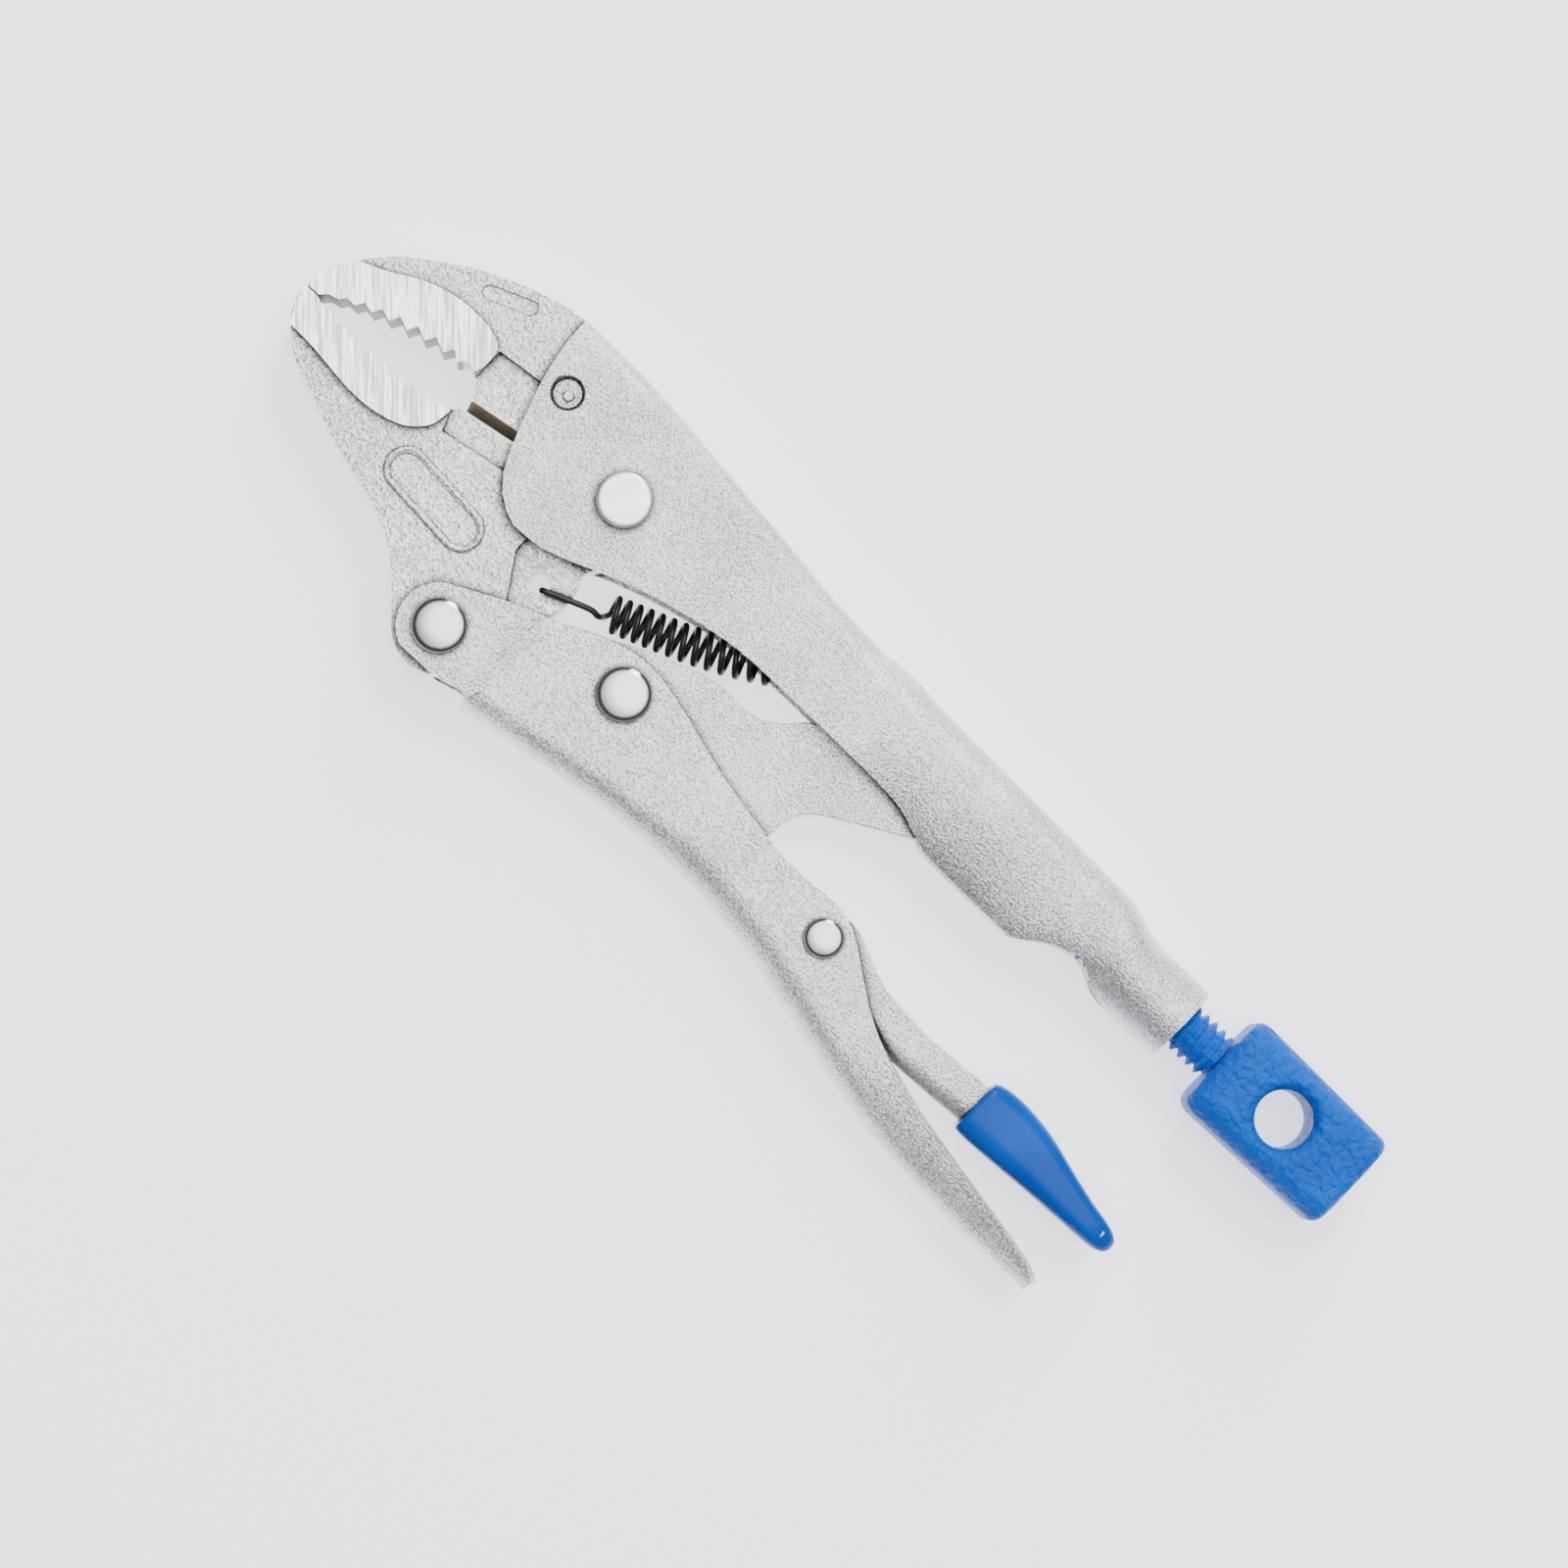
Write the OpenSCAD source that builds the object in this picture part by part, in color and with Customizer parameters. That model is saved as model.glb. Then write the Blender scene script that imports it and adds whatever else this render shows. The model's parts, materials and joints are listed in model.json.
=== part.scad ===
// Locking pliers with curved jaws, a wire cutter, a toggle link and a block-headed adjusting screw.
// Millimetres. The origin is on the main pivot's axis, at the plane that the tool lies on.
// +X runs back along the adjusting screw, +Y towards the upper handle's back, +Z along the pivots.

/* [Overall] */
// Main pivot to the nose of the jaws
jaw_len = 69.2; // [60:0.1:84]
// Main pivot to the rear face of the upper handle's neck
body_len = 140; // [132:1:175]
// Main pivot to the end of the lower handle's tail
tail_len = 152.4; // [140:0.1:185]

/* [Jaws] */
// Thickness of the lower jaw between the handle walls
jaw_t = 10; // [8.3:0.1:12]
// How far the toothed pads stand proud of the jaws, each side
pad_rise = 1.3; // [0.8:0.1:1.6]
// How far the wire cutter's flats are sunk below the jaws, each side
cutter_sink = 0.8; // [0.5:0.1:1.2]
// Depth of the largest teeth
tooth_depth = 1.7; // [1:0.1:2.1]
// Number of teeth on each jaw
tooth_count = 8; // [6:1:12]
// How far the teeth lean along the jaw, as a share of half a tooth
tooth_rake = 0.45; // [0:0.05:0.6]
// Radius of the lower jaw's hub around the main pivot
hub_r = 11.5; // [10:0.1:12.5]
// Clearance between the hub and the upper jaw's tang
hub_gap = 0.5; // [0.4:0.1:1]

/* [Sheet metal] */
// Wall of the upper handle
upper_sheet = 2.2; // [1.8:0.1:2.7]
// Outside bend radius of the upper handle's back
upper_bend = 3.3; // [3:0.1:4]
// Wall of the lower handle
lower_sheet = 2; // [1.6:0.1:2.4]
// Outside bend radius of the lower handle's belly
lower_bend = 5.6; // [4:0.1:6.4]
// Wall of the release lever
lever_sheet = 1.5; // [1.2:0.1:1.8]
// Outside bend radius of the release lever's belly
lever_bend = 3.2; // [2.6:0.1:4]
// Thickness of the dipped grip over the release lever
grip_coat = 1.5; // [1:0.1:2]
// Side clearance between parts that turn past each other
side_gap = 0.25; // [0.2:0.05:0.3]

/* [Linkage] */
// Lower handle's pivot on the lower jaw, along X
handle_pivot_x = -8.4; // [-10:0.1:-6]
// Lower handle's pivot on the lower jaw, along Y
handle_pivot_y = -39.9; // [-42:0.1:-38]
// Link's pivot on the lower handle, along X
link_pivot_x = 24.5; // [22:0.1:27]
// Link's pivot on the lower handle, along Y
link_pivot_y = -25.6; // [-27:0.1:-24.5]
// Release lever's pivot on the lower handle, along X
lever_pivot_x = 81.6; // [80:0.1:83]
// Release lever's pivot on the lower handle, along Y
lever_pivot_y = -32.4; // [-33:0.1:-31.8]
// Centre of the link's rounded nose, along X
nose_x = 88; // [86:0.1:92]
// Radius of the link's nose
nose_r = 4.4; // [3.8:0.1:4.8]
// Thickness of the toggle link
link_t = 7; // [5.8:0.1:8.4]
// Gap left between the link's nose and the screw's tip
nose_gap = 2.4; // [2:0.1:3]
// Release lever's pivot to the end of its metal tail
lever_len = 74.4; // [60:0.1:80]

/* [Rivets] */
// Shank diameter of the main rivet
main_rivet_d = 6.4; // [5:0.1:7.7]
// Head diameter of the main rivet
main_head_d = 10.3; // [9:0.1:12.4]
// Head thickness of the main rivet
main_head_t = 2; // [1.2:0.1:2.4]
// Shank diameter of the lower jaw's rivet
handle_rivet_d = 6.4; // [5:0.1:7.7]
// Shank diameter of the link's rivet
link_rivet_d = 6; // [5:0.1:7.2]
// Head diameter of the lower jaw's and the link's rivets
side_head_d = 10.2; // [8:0.1:12.2]
// Shank diameter of the release lever's rivet
lever_rivet_d = 4.4; // [3.5:0.1:5.3]
// Head diameter of the release lever's rivet
lever_head_d = 7.4; // [6:0.1:8.9]
// Diameter of the pin that fixes the upper jaw
stake_d = 5.6; // [4.5:0.1:6.7]
// Radial clearance of a rivet in its holes
rivet_gap = 0.06; // [0.02:0.01:0.1]

/* [Adjusting screw] */
// Height of the screw's axis above the main pivot
screw_y = 2; // [1:0.1:3]
// Outside diameter of the thread
screw_d = 9.6; // [8:0.1:11.5]
// Outside diameter of the handle's neck
neck_d = 15.4; // [14:0.1:17]
// Length of the handle's neck
neck_len = 11; // [9:0.1:14]
// Exposed thread between the neck and the head
exposed_len = 9.6; // [6:0.1:15]
// Length of the head
head_len = 33.6; // [28:0.1:42]
// Width of the head at its front end
head_w = 21.6; // [18:0.1:26]
// Width of the head at its rear end
head_rear_w = 20.2; // [17:0.1:25]
// Thickness of the head
head_t = 17; // [15:0.1:19.5]
// Diameter of the head's cross hole
head_hole_d = 10.8; // [8:0.1:12.9]
// Diameter of the rim around the cross hole
head_rim_d = 16; // [14:0.1:19]

/* [Return spring] */
// Outside diameter of the coils
coil_d = 7.4; // [6:0.1:8.8]
// Wire diameter
wire_d = 1.2; // [1:0.1:1.4]

/* [Hidden] */
$fn = 64;
eps = 0.02;

// Widths across the tool, from the middle plane outwards
jaw_slot = jaw_t + 2 * side_gap;
upper_w = jaw_slot + 2 * upper_sheet;
ear_w = jaw_slot + 2 * lower_sheet;
channel_slot = link_t + 1.5;
channel_w = channel_slot + 2 * lower_sheet;
lever_w = channel_slot - 2 * side_gap;
pad_t = jaw_t + 2 * pad_rise;
cutter_t = jaw_t - 2 * cutter_sink;
tab_t = jaw_t - 3;
mid_z = upper_w / 2 + main_head_t;

// Pivots
handle_pivot = [handle_pivot_x, handle_pivot_y];
link_pivot = [link_pivot_x, link_pivot_y];
lever_pivot = [lever_pivot_x, lever_pivot_y];
nose = [nose_x, screw_y];
stake = [-21, 7];
spring_hole = [-0.8, -21.4];
spring_hook = [0.5, -22];

// Stations along X
front_x = -28;
neck_x = body_len - neck_len;
tip_x = nose_x + nose_r + nose_gap;
head_x = body_len + exposed_len;
lever_end = lever_pivot_x + lever_len;
ear_end = 8;
channel_start = 4.3;
grip_start = lever_end - 33.2;

// A smooth curve through points, n steps to a span
function blend(a, b, c, d, t) =
    0.5 * (2 * b + (c - a) * t + (2 * a - 5 * b + 4 * c - d) * t * t + (3 * b - a - 3 * c + d) * t * t * t);
function curve(p, n = 4) =
    let (last = len(p) - 1)
    concat([for (i = [0:last - 1]) for (k = [0:n - 1])
                blend(p[max(i - 1, 0)], p[i], p[i + 1], p[min(i + 2, last)], k / n)],
           [p[last]]);
function arc(c, r, from, to, n = 12) =
    [for (i = [0:n]) let (a = from + (to - from) * i / n) c + r * [cos(a), sin(a)]];
function reversed(p) = [for (i = [len(p) - 1:-1:0]) p[i]];
function bezier(a, b, c, t) = (1 - t) * (1 - t) * a + 2 * t * (1 - t) * b + t * t * c;
// A place ahead of the handle: 0 at its front edge, 1 at the nose of the jaws
function ahead(f) = front_x - f * (jaw_len + front_x);
// A place behind the release lever's pivot: 1 at the end of the lower handle's tail
function behind(f) = lever_pivot_x + f * (tail_len - lever_pivot_x);

// Upper handle, seen from the side
back_line = curve([[-30, 19.3], [-20, 19.4], [-8, 18.9], [8, 17.3], [24, 15.6], [40, 13.9], [54, 13.2],
                   [70, 13.1], [90, 12.8], [neck_x - 13, 12.1], [neck_x - 5, 11.4], [neck_x - 1.5, 10.3],
                   [neck_x + 1.5, screw_y + neck_d / 2]]);
open_line = curve([[-30, -17.1], [-8, -17.1], [0, -15], [8, -11.6], [16, -8.9], [24, -6.9], [33, -5.3],
                   [44, -4.8], [60, -4.9], [72, -5.1], [77, -6], [82, -7.7], [87, -8.4],
                   [neck_x - 24, -8.4], [neck_x - 21.5, -7.6], [neck_x - 18.5, -5.4],
                   [neck_x - 15, -3.5], [neck_x - 11, -2.5], [neck_x - 7, -3.3], [neck_x - 3, -5.4],
                   [neck_x + 1.5, -5.5]]);
curl_line = [[-30, 0], [74, 0], [86, 1.3], [neck_x - 22, 1.3], [neck_x - 15, 0.8], [neck_x + 1.5, 0.8]];
front_edge = curve([[front_x, 20], [-27.6, 14], [-26.8, 9], [-25.4, 3.5], [-23.5, -2], [-21.4, -7.5],
                    [-18.8, -12.4], [-15, -15.8], [-11, -17], [-7, -17.1]]);

// Lower handle, seen from the side
belly_line = curve([[0, -48.6], [8, -47.3], [16, -46], [24, -44.6], [32, -43.3], [40, -42.5],
                    [50, -41.85], [58, -41.9], [66, -42.6], [74, -43.8], [82, -45.7],
                    [behind(0.12), -47.6], [behind(0.24), -49.5], [behind(0.36), -51.1],
                    [behind(0.48), -52.3], [behind(0.6), -53], [behind(0.72), -53.4],
                    [behind(0.86), -53.3], [behind(1), -53.4]]);
rim_line = curve([[0, -27], [6, -24.5], [10, -22.8], [14, -21], [18, -19.4], [22, -18.6], [26, -18.5],
                  [30, -19.1], [36, -20.5], [43, -22.5], [50, -24.2], [58, -25.6], [66, -26.7],
                  [72, -26.8], [77, -26.3], [81.5, -26.5], [behind(0.06), -28.4], [behind(0.12), -31.4],
                  [behind(0.19), -34.9], [behind(0.26), -37.8], [behind(0.35), -40.4],
                  [behind(0.47), -42.8], [behind(0.6), -44.8], [behind(0.75), -46.8],
                  [behind(0.88), -48.4], [behind(0.96), -49.8], [behind(1), -51.6]]);

tail_w_line = [[0, channel_w / 2], [behind(0.75), channel_w / 2], [behind(0.9), channel_w / 2 - 0.8],
               [behind(1), channel_w / 2 - 1.8]];

// Release lever, seen from the side
lever_belly = curve([[52, -38.4], [60, -38.6], [70, -38.9], [80, -38.8], [90, -38.7], [98, -39.4],
                     [106, -39.8], [114, -39.6], [124, -39], [lever_end - 20, -38.6],
                     [lever_end - 8, -38], [lever_end, -37.5]]);
lever_rim = curve([[52, -34.6], [60, -34.4], [68, -33.5], [74, -31], [79, -27.6], [83, -26.6],
                   [87, -27.4], [92, -29.6], [96, -31], [101, -31.7], [110, -31.9], [124, -31],
                   [lever_end - 20, -31.6], [lever_end - 8, -34], [lever_end, -35.6]]);

// Where the jaws grip: a curve from the nose to the round notch, and how deep the teeth are along it
function upper_grip(t) = bezier([ahead(0.93), -11.25], [ahead(0.68), -4.2], [ahead(0.28), -2], t);
function lower_grip(t) = bezier([ahead(0.93), -11.95], [ahead(0.58), -14.2], [ahead(0.28), -11.4], t);
function depth(t) = tooth_depth * (0.25 + 0.75 * min(1, t * 1.8));
function raked(i, low) = i > 0 && i < 2 * tooth_count && i % 2 == low ? i + tooth_rake : i;
upper_teeth = [for (i = [0:2 * tooth_count])
    let (t = raked(i, 0) / (2 * tooth_count)) upper_grip(t) + [0, (i % 2 == 0 ? -0.5 : 0.5) * depth(t)]];
lower_teeth = [for (i = [0:2 * tooth_count])
    let (t = raked(i, 1) / (2 * tooth_count)) lower_grip(t) + [0, (i % 2 == 0 ? 0.5 : -0.5) * depth(t)]];

// Jaw outlines, seen from the side
nose_top = [ahead(1), -11.5];
nose_low = [ahead(1), -11.8];
upper_cut = [[ahead(0.12), -5.9], [front_x + 4.5, -4.2]];
lower_cut = [[ahead(0.13), -8.6], [front_x + 6, -6.2]];
upper_back = curve([nose_top, [ahead(0.99), -8.5], [ahead(0.97), -5.6], [ahead(0.92), -2.4],
                    [ahead(0.87), 0.5], [ahead(0.78), 4.4], [ahead(0.68), 7.5], [ahead(0.58), 10.2],
                    [ahead(0.49), 12.5], [ahead(0.39), 14.5], [ahead(0.29), 16.1], [ahead(0.2), 17.4],
                    [ahead(0.1), 18.5], [ahead(0.01), 19.1]]);
lower_back = curve([nose_low, [ahead(0.993), -14.5], [ahead(0.97), -16.7], [ahead(0.935), -18.6],
                    [ahead(0.885), -20.6], [ahead(0.825), -22.4], [ahead(0.73), -24.2],
                    [ahead(0.58), -26.5], [ahead(0.44), -28.5], [ahead(0.29), -30.2],
                    [ahead(0.15), -31.8], [ahead(0.02), -33.8], [-25, -36.1], [-21, -39.4],
                    [-18, -42.6], handle_pivot + [-7.1, -5.2]]);
upper_pad_back = curve([[ahead(0.91), -1.9], [ahead(0.78), 0.4], [ahead(0.66), 3.3], [ahead(0.53), 5.3],
                        [ahead(0.41), 6.1], [ahead(0.29), 5.9], [ahead(0.22), 5], [ahead(0.185), 3.4],
                        [ahead(0.18), 0]]);
lower_pad_back = curve([[ahead(0.93), -18.9], [ahead(0.78), -19.1], [ahead(0.58), -20],
                        [ahead(0.44), -20], [ahead(0.32), -19], [ahead(0.235), -17.3],
                        [ahead(0.17), -14.3], [ahead(0.155), -11]]);
upper_notch = curve([upper_teeth[2 * tooth_count], [ahead(0.24), -1.3], [ahead(0.18), -2.4],
                     [ahead(0.145), -4], upper_cut[0]]);
lower_notch = curve([lower_teeth[2 * tooth_count], [ahead(0.25), -11.2], [ahead(0.2), -10.6],
                     [ahead(0.16), -9.6], lower_cut[0]]);

// Two points closer than this count as one
function clean(p) = [for (i = [0:len(p) - 1]) if (norm(p[i] - p[(i + 1) % len(p)]) > 0.01) p[i]];
function beyond(p, x) = [for (q = p) if (q[0] > x) q];

// Joins rings of points, one ring to a station, into a closed solid. In each ring the second half
// runs back beside the first half, so the ends close as strips between the two.
module loft(rings) {
    n = len(rings[0]);
    m = len(rings);
    polyhedron(
        points = [for (r = rings) for (p = r) p],
        faces = concat(
            [for (k = [0:n / 2 - 2]) [k, k + 1, n - 2 - k]],
            [for (k = [0:n / 2 - 2]) [k, n - 2 - k, n - 1 - k]],
            [for (i = [0:m - 2]) for (j = [0:n - 1])
                [i * n + j, (i + 1) * n + j, (i + 1) * n + (j + 1) % n]],
            [for (i = [0:m - 2]) for (j = [0:n - 1])
                [i * n + j, (i + 1) * n + (j + 1) % n, i * n + (j + 1) % n]],
            [for (k = [0:n / 2 - 2]) (m - 1) * n * [1, 1, 1] + [k + 1, k, n - 2 - k]],
            [for (k = [0:n / 2 - 2]) (m - 1) * n * [1, 1, 1] + [n - 2 - k, k, n - 1 - k]]),
        convexity = 8);
}

// One side of a channel's section: half width w, bend radius r, from the open edge to the bend.
// The last 3 mm of the wall lean inwards by curl.
function half_section(open, back, w, r, curl) =
    let (lip = min(3, 0.4 * (back - r - open)))
    concat([[w - curl, open], [w, open + lip]], arc([w - r, back - r], r, 0, 90, 3));
function mirrored(p) = [for (i = [len(p) - 1:-1:0]) [-p[i][0], p[i][1]]];
// A channel's ring at x, its back on the +Y side for up = 1 and on the -Y side for up = -1
function channel_ring(x, open, back, w, r, sheet, curl, up) =
    let (outer = half_section(up * open, up * back, w, r, curl),
         inner = half_section(up * open, up * back - sheet, w - sheet, max(r - sheet, 0.5), curl),
         loop = concat(outer, mirrored(outer), reversed(mirrored(inner)), reversed(inner)))
    [for (p = up > 0 ? reversed(loop) : loop) [x, up * p[1], mid_z + p[0]]];

// A rod with its axis along Z, centred on the middle plane
module across(p, d, h) {
    translate([p[0], p[1], mid_z])
    cylinder(d = d, h = h, center = true);
}

// A flat plate of thickness t, centred on the middle plane
module plate(outline, t) {
    translate([0, 0, mid_z - t / 2])
    linear_extrude(t)
    polygon(clean(outline));
}

// A plate seen from above: half widths along X, the same on both sides of the middle plane
module plan(half, h) {
    translate([0, h / 2, mid_z])
    rotate([90, 0, 0])
    linear_extrude(h)
    polygon(concat(half, [for (i = [len(half) - 1:-1:0]) [half[i][0], -half[i][1]]]));
}

// A rod along X that starts at x
module along(x, y, d, h) {
    translate([x, y, mid_z])
    rotate([0, 90, 0])
    cylinder(d = d, h = h);
}

// A rod between two points
module rod(a, b, d) {
    v = b - a;
    translate(a)
    rotate([0, acos(v[2] / norm(v)), atan2(v[1], v[0])])
    cylinder(d = d, h = norm(v), $fn = 24);
}

// A rivet at p through parts that are span wide, with a head of thickness t at each end.
// A crown above 0 domes the heads.
module rivet(p, d, head_d, span, t, crown) {
    across(p, d, span);
    for (side = [0, 1])
        translate([p[0], p[1], mid_z])
        mirror([0, 0, side])
        translate([0, 0, span / 2])
        rivet_head(head_d, t, crown);
}

module rivet_head(head_d, t, crown) {
    if (crown > 0)
        intersection() {
            cylinder(d = head_d, h = t);
            translate([0, 0, t - dome_r(head_d, crown)])
            sphere(r = dome_r(head_d, crown));
        }
    else
        cylinder(d = head_d, h = t);
}
function dome_r(head_d, crown) = (head_d * head_d / 4 + crown * crown) / (2 * crown);

module upper_handle() {
    stations = concat([-30, -20, -10], [for (x = [2:12:74]) x], [80, 86],
                      [for (x = [94:10:neck_x - 27]) x],
                      [for (d = [-24, -22.5, -20.5, -18, -15, -11, -7, -3.5, -1, 1]) neck_x + d]);
    color("gainsboro")
    difference() {
        union() {
            difference() {
                loft([for (x = stations)
                    channel_ring(x, lookup(x, open_line), lookup(x, back_line), upper_w / 2,
                                 upper_bend, upper_sheet, lookup(x, curl_line), 1)]);
                plate(concat(front_edge, [[-7, -30], [-40, -30], [-40, 30], [front_x, 30]]), upper_w + 1);
            }
            neck();
            spring_anchor();
            back_pad();
        }
        across([0, 0], main_rivet_d + 2 * rivet_gap, upper_w + 1);
        across(stake, stake_d + 2 * rivet_gap, upper_w + 1);
        along(neck_x - 12, screw_y, screw_d + 2 * rivet_gap, neck_len + 13);
    }
}

// The rear of the upper handle, rolled round the screw, with the seam on its underside
module neck() {
    seam = 0.8;
    difference() {
        along(neck_x - 4.5, screw_y, neck_d, neck_len + 4.5);
        translate([neck_x + 0.5, screw_y - neck_d, mid_z - seam / 2])
        cube([neck_len, neck_d / 2 + 0.7, seam]);
    }
}

// A tab under the handle's back that the return spring hooks on
module spring_anchor() {
    difference() {
        plate([[57, 11.5], [57, 6.2], [58.2, 5], [60, 5.6], [61.5, 11.5]], 3);
        across([58.8, 7.2], wire_d + 0.8, 4);
    }
}

// A low pad pressed into the handle's back above the anchor
module back_pad() {
    plate([[54.6, 12], [55.6, 13.7], [64, 13.6], [70, 12.6], [70, 12]], upper_w - 2 * upper_bend);
}

module upper_jaw() {
    tang_drop = upper_bend + 0.1;
    tang_r = hub_r + hub_gap;
    tang_end = 6;
    tang_top = [for (x = [tang_end:-6:front_x + 3]) [x, lookup(x, back_line) - tang_drop]];
    outline = concat([nose_top], upper_teeth, upper_notch, upper_cut,
                     arc([0, 0], tang_r, 191, 64, 24), tang_top,
                     [[front_x - 0.2, lookup(front_x, back_line) - tang_drop], [front_x - 0.2, 19.1]],
                     reversed(upper_back));
    color("lightgray")
    difference() {
        union() {
            plate(outline, jaw_slot - 2 * eps);
            plate(concat([nose_top], upper_teeth, [for (q = upper_notch) if (q[0] < ahead(0.182)) q],
                         reversed(upper_pad_back), [[ahead(0.95), -4], [ahead(0.985), -8]]), pad_t);
            cutter_blade();
        }
        for (side = [-1, 1])
            translate([0, 0, side * (cutter_t + jaw_t) / 2])
            plate([[ahead(0.18), -7], [ahead(0.18), 4.2], [-24, 5.6], [-16, 6], [-16, -7]], jaw_t);
        for (side = [-1, 1])
            translate([ahead(0.305), 12.2, mid_z + side * jaw_slot / 2])
            rotate([0, 0, 23])
            slot(11, 3, 0.8);
        across(stake, stake_d + 2 * rivet_gap, pad_t);
    }
}

// A flat-bottomed slot with round ends
module slot(length, width, deep) {
    linear_extrude(deep, center = true) {
        square([length - width, width], center = true);
        translate([(length - width) / 2, 0]) circle(d = width);
        translate([(width - length) / 2, 0]) circle(d = width);
    }
}

// The wire cutter's ridge: a blade along the upper jaw's cutting edge, sharp on the middle plane
module cutter_blade() {
    rise = 1.9;
    run = [-12.5, -2.1] - upper_cut[0];
    translate([upper_cut[0][0], upper_cut[0][1], mid_z])
    rotate([0, 0, atan2(run[1], run[0])])
    rotate([90, 0, 90])
    linear_extrude(norm(run))
    polygon([[-0 - eps, -cutter_t / 2], [-rise, 0], [-0 - eps, cutter_t / 2], [1, cutter_t / 2],
             [1, -cutter_t / 2]]);
}

module jaw_stake_pin() {
    sink = 0.9;
    boss_d = 2;
    color("silver")
    union() {
        across(stake, stake_d, upper_w - 2 * sink);
        across(stake + [0.4, -0.2], boss_d, upper_w - sink);
    }
}

module main_rivet() {
    color("whitesmoke")
    rivet([0, 0], main_rivet_d, main_head_d, upper_w, main_head_t, 0);
}

module lower_jaw() {
    heel_r = 8.8;
    color("lightgray")
    difference() {
        union() {
            plate(concat(reversed(lower_notch), reversed(lower_teeth), lower_back,
                         arc(handle_pivot, heel_r, 222, 322),
                         curve([[0, -39], [-0.2, -35], [0.2, -31.5], [2.6, -27], [4.9, -24], [5.5, -20.5], [5, -17],
                                [4, -14.4], [8.6, -8]]),
                         arc([0, 0], hub_r, -38, 201, 36), [lower_cut[1]]), jaw_t);
            plate(concat(reversed(lower_notch), reversed(lower_teeth), [nose_low], [[ahead(0.98), -15.5]],
                         lower_pad_back), pad_t);
            for (side = [-1, 1])
                translate([-25.3, -23.8, mid_z + side * jaw_t / 2])
                rotate([0, 0, -4])
                cartouche();
        }
        for (side = [-1, 1])
            translate([0, 0, side * (cutter_t + jaw_t) / 2])
            plate([[ahead(0.155), -7], [ahead(0.155), -10], [ahead(0.12), -13.8], [-20.3, -11.4],
                   [-14, -10.5], [-14, -3]], jaw_t);
        for (side = [-1, 1])
            translate([0, 0, side * (tab_t + jaw_t) / 2])
            difference() {
                plate([[-8.2, -14], [-8.2, -20], [-2.6, -28.6], [0, -31], [12, -31], [12, -14]], jaw_t);
                across([0, 0], 2 * hub_r + 3, 3 * jaw_t);
            }
        across([0, 0], main_rivet_d + 2 * rivet_gap, pad_t);
        across(handle_pivot, handle_rivet_d + 2 * rivet_gap, pad_t);
        across(spring_hole, 3.6 * wire_d, pad_t);
    }
}

// An empty oval border, raised from the jaw
module cartouche() {
    length = 22.8;
    width = 8;
    border = 0.9;
    difference() {
        slot(length, width, 0.8);
        slot(length - 2 * border, width - 2 * border, 2);
    }
}

module lower_handle() {
    ear_r = 7.9;
    side = concat(arc(handle_pivot, ear_r, 110, 285, 18), [[-2, -46.9], [2.4, -45.7], [channel_start, -46.2]],
                  [[10, -46.2], [10, lookup(10, rim_line) - 0.1], [6, lookup(6, rim_line)]],
                  reversed(curve([[-8, -30.8], [-3, -28.3], [2, -26.2], [6, lookup(6, rim_line)]])));
    stations = concat([channel_start, 9, 14, 18, 22, 26], [for (x = [32:8:72]) x], [77, 81.5],
                      [for (f = [0.06, 0.12, 0.19, 0.27, 0.36, 0.48, 0.6, 0.72, 0.82, 0.9, 0.96, 1])
                          behind(f)]);
    color("gainsboro")
    difference() {
        union() {
            loft([for (x = stations)
                channel_ring(x, lookup(x, rim_line), lookup(x, belly_line), lookup(x, tail_w_line),
                             min(lower_bend, lookup(x, tail_w_line) - 0.4, 0.7 * wall_height(x)),
                             lower_sheet, 0, -1)]);
            difference() {
                intersection() {
                    plate(side, ear_w + 1);
                    plan([[-30, ear_w / 2], [0.8, ear_w / 2], [6.6, channel_w / 2 - 0.1],
                          [12, channel_w / 2 - 0.1]], 120);
                }
                plan([[-31, jaw_slot / 2], [0.8, jaw_slot / 2], [6.6, channel_slot / 2 + 0.1],
                      [13, channel_slot / 2 + 0.1]], 121);
            }
        }
        across(handle_pivot, handle_rivet_d + 2 * rivet_gap, ear_w + 1);
        across(link_pivot, link_rivet_d + 2 * rivet_gap, ear_w + 1);
        across(lever_pivot, lever_rivet_d + 2 * rivet_gap, ear_w + 1);
    }
}
function wall_height(x) = lookup(x, rim_line) - lookup(x, belly_line);

module handle_rivet() {
    color("whitesmoke")
    rivet(handle_pivot, handle_rivet_d, side_head_d, ear_w, 2, 1.1);
}

module toggle_link() {
    front = link_pivot[0] - 16.6;
    top = curve([[front, -23.4], [12, -21.4], [17, -19.2], [21, -17.2], [26, -15.2], [31, -13.2],
                 [36, -12], [42, -12], [46, -11.1], [49, -9.2], [51, -7], [53, -5.2], [58, -3.2],
                 [66, -0.4], [76, 3.6], nose + [-3.4, nose_r - 0.2]]);
    low = curve([nose + [3.2, -3.2], [86.5, -4.6], [80.5, -8], [75, -11], [70, -13.8], [66, -16.2],
                 [63.2, -18.6], [61.9, -21.8], [61.5, -26], [61, -30], [59.5, -31.8]]);
    color("lightgray")
    difference() {
        plate(concat(top, arc(nose, nose_r, 85, -40, 10), low,
                     [[47, -31.8]], arc(link_pivot, 7.4, -60, -120, 6),
                     curve([[16, -31], [10, -28.6], [front, -26.2]])), link_t);
        across(link_pivot, link_rivet_d + 2 * rivet_gap, link_t + 1);
    }
}

module link_rivet() {
    color("whitesmoke")
    rivet(link_pivot, link_rivet_d, side_head_d, channel_w, 2, 1.1);
}

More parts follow.
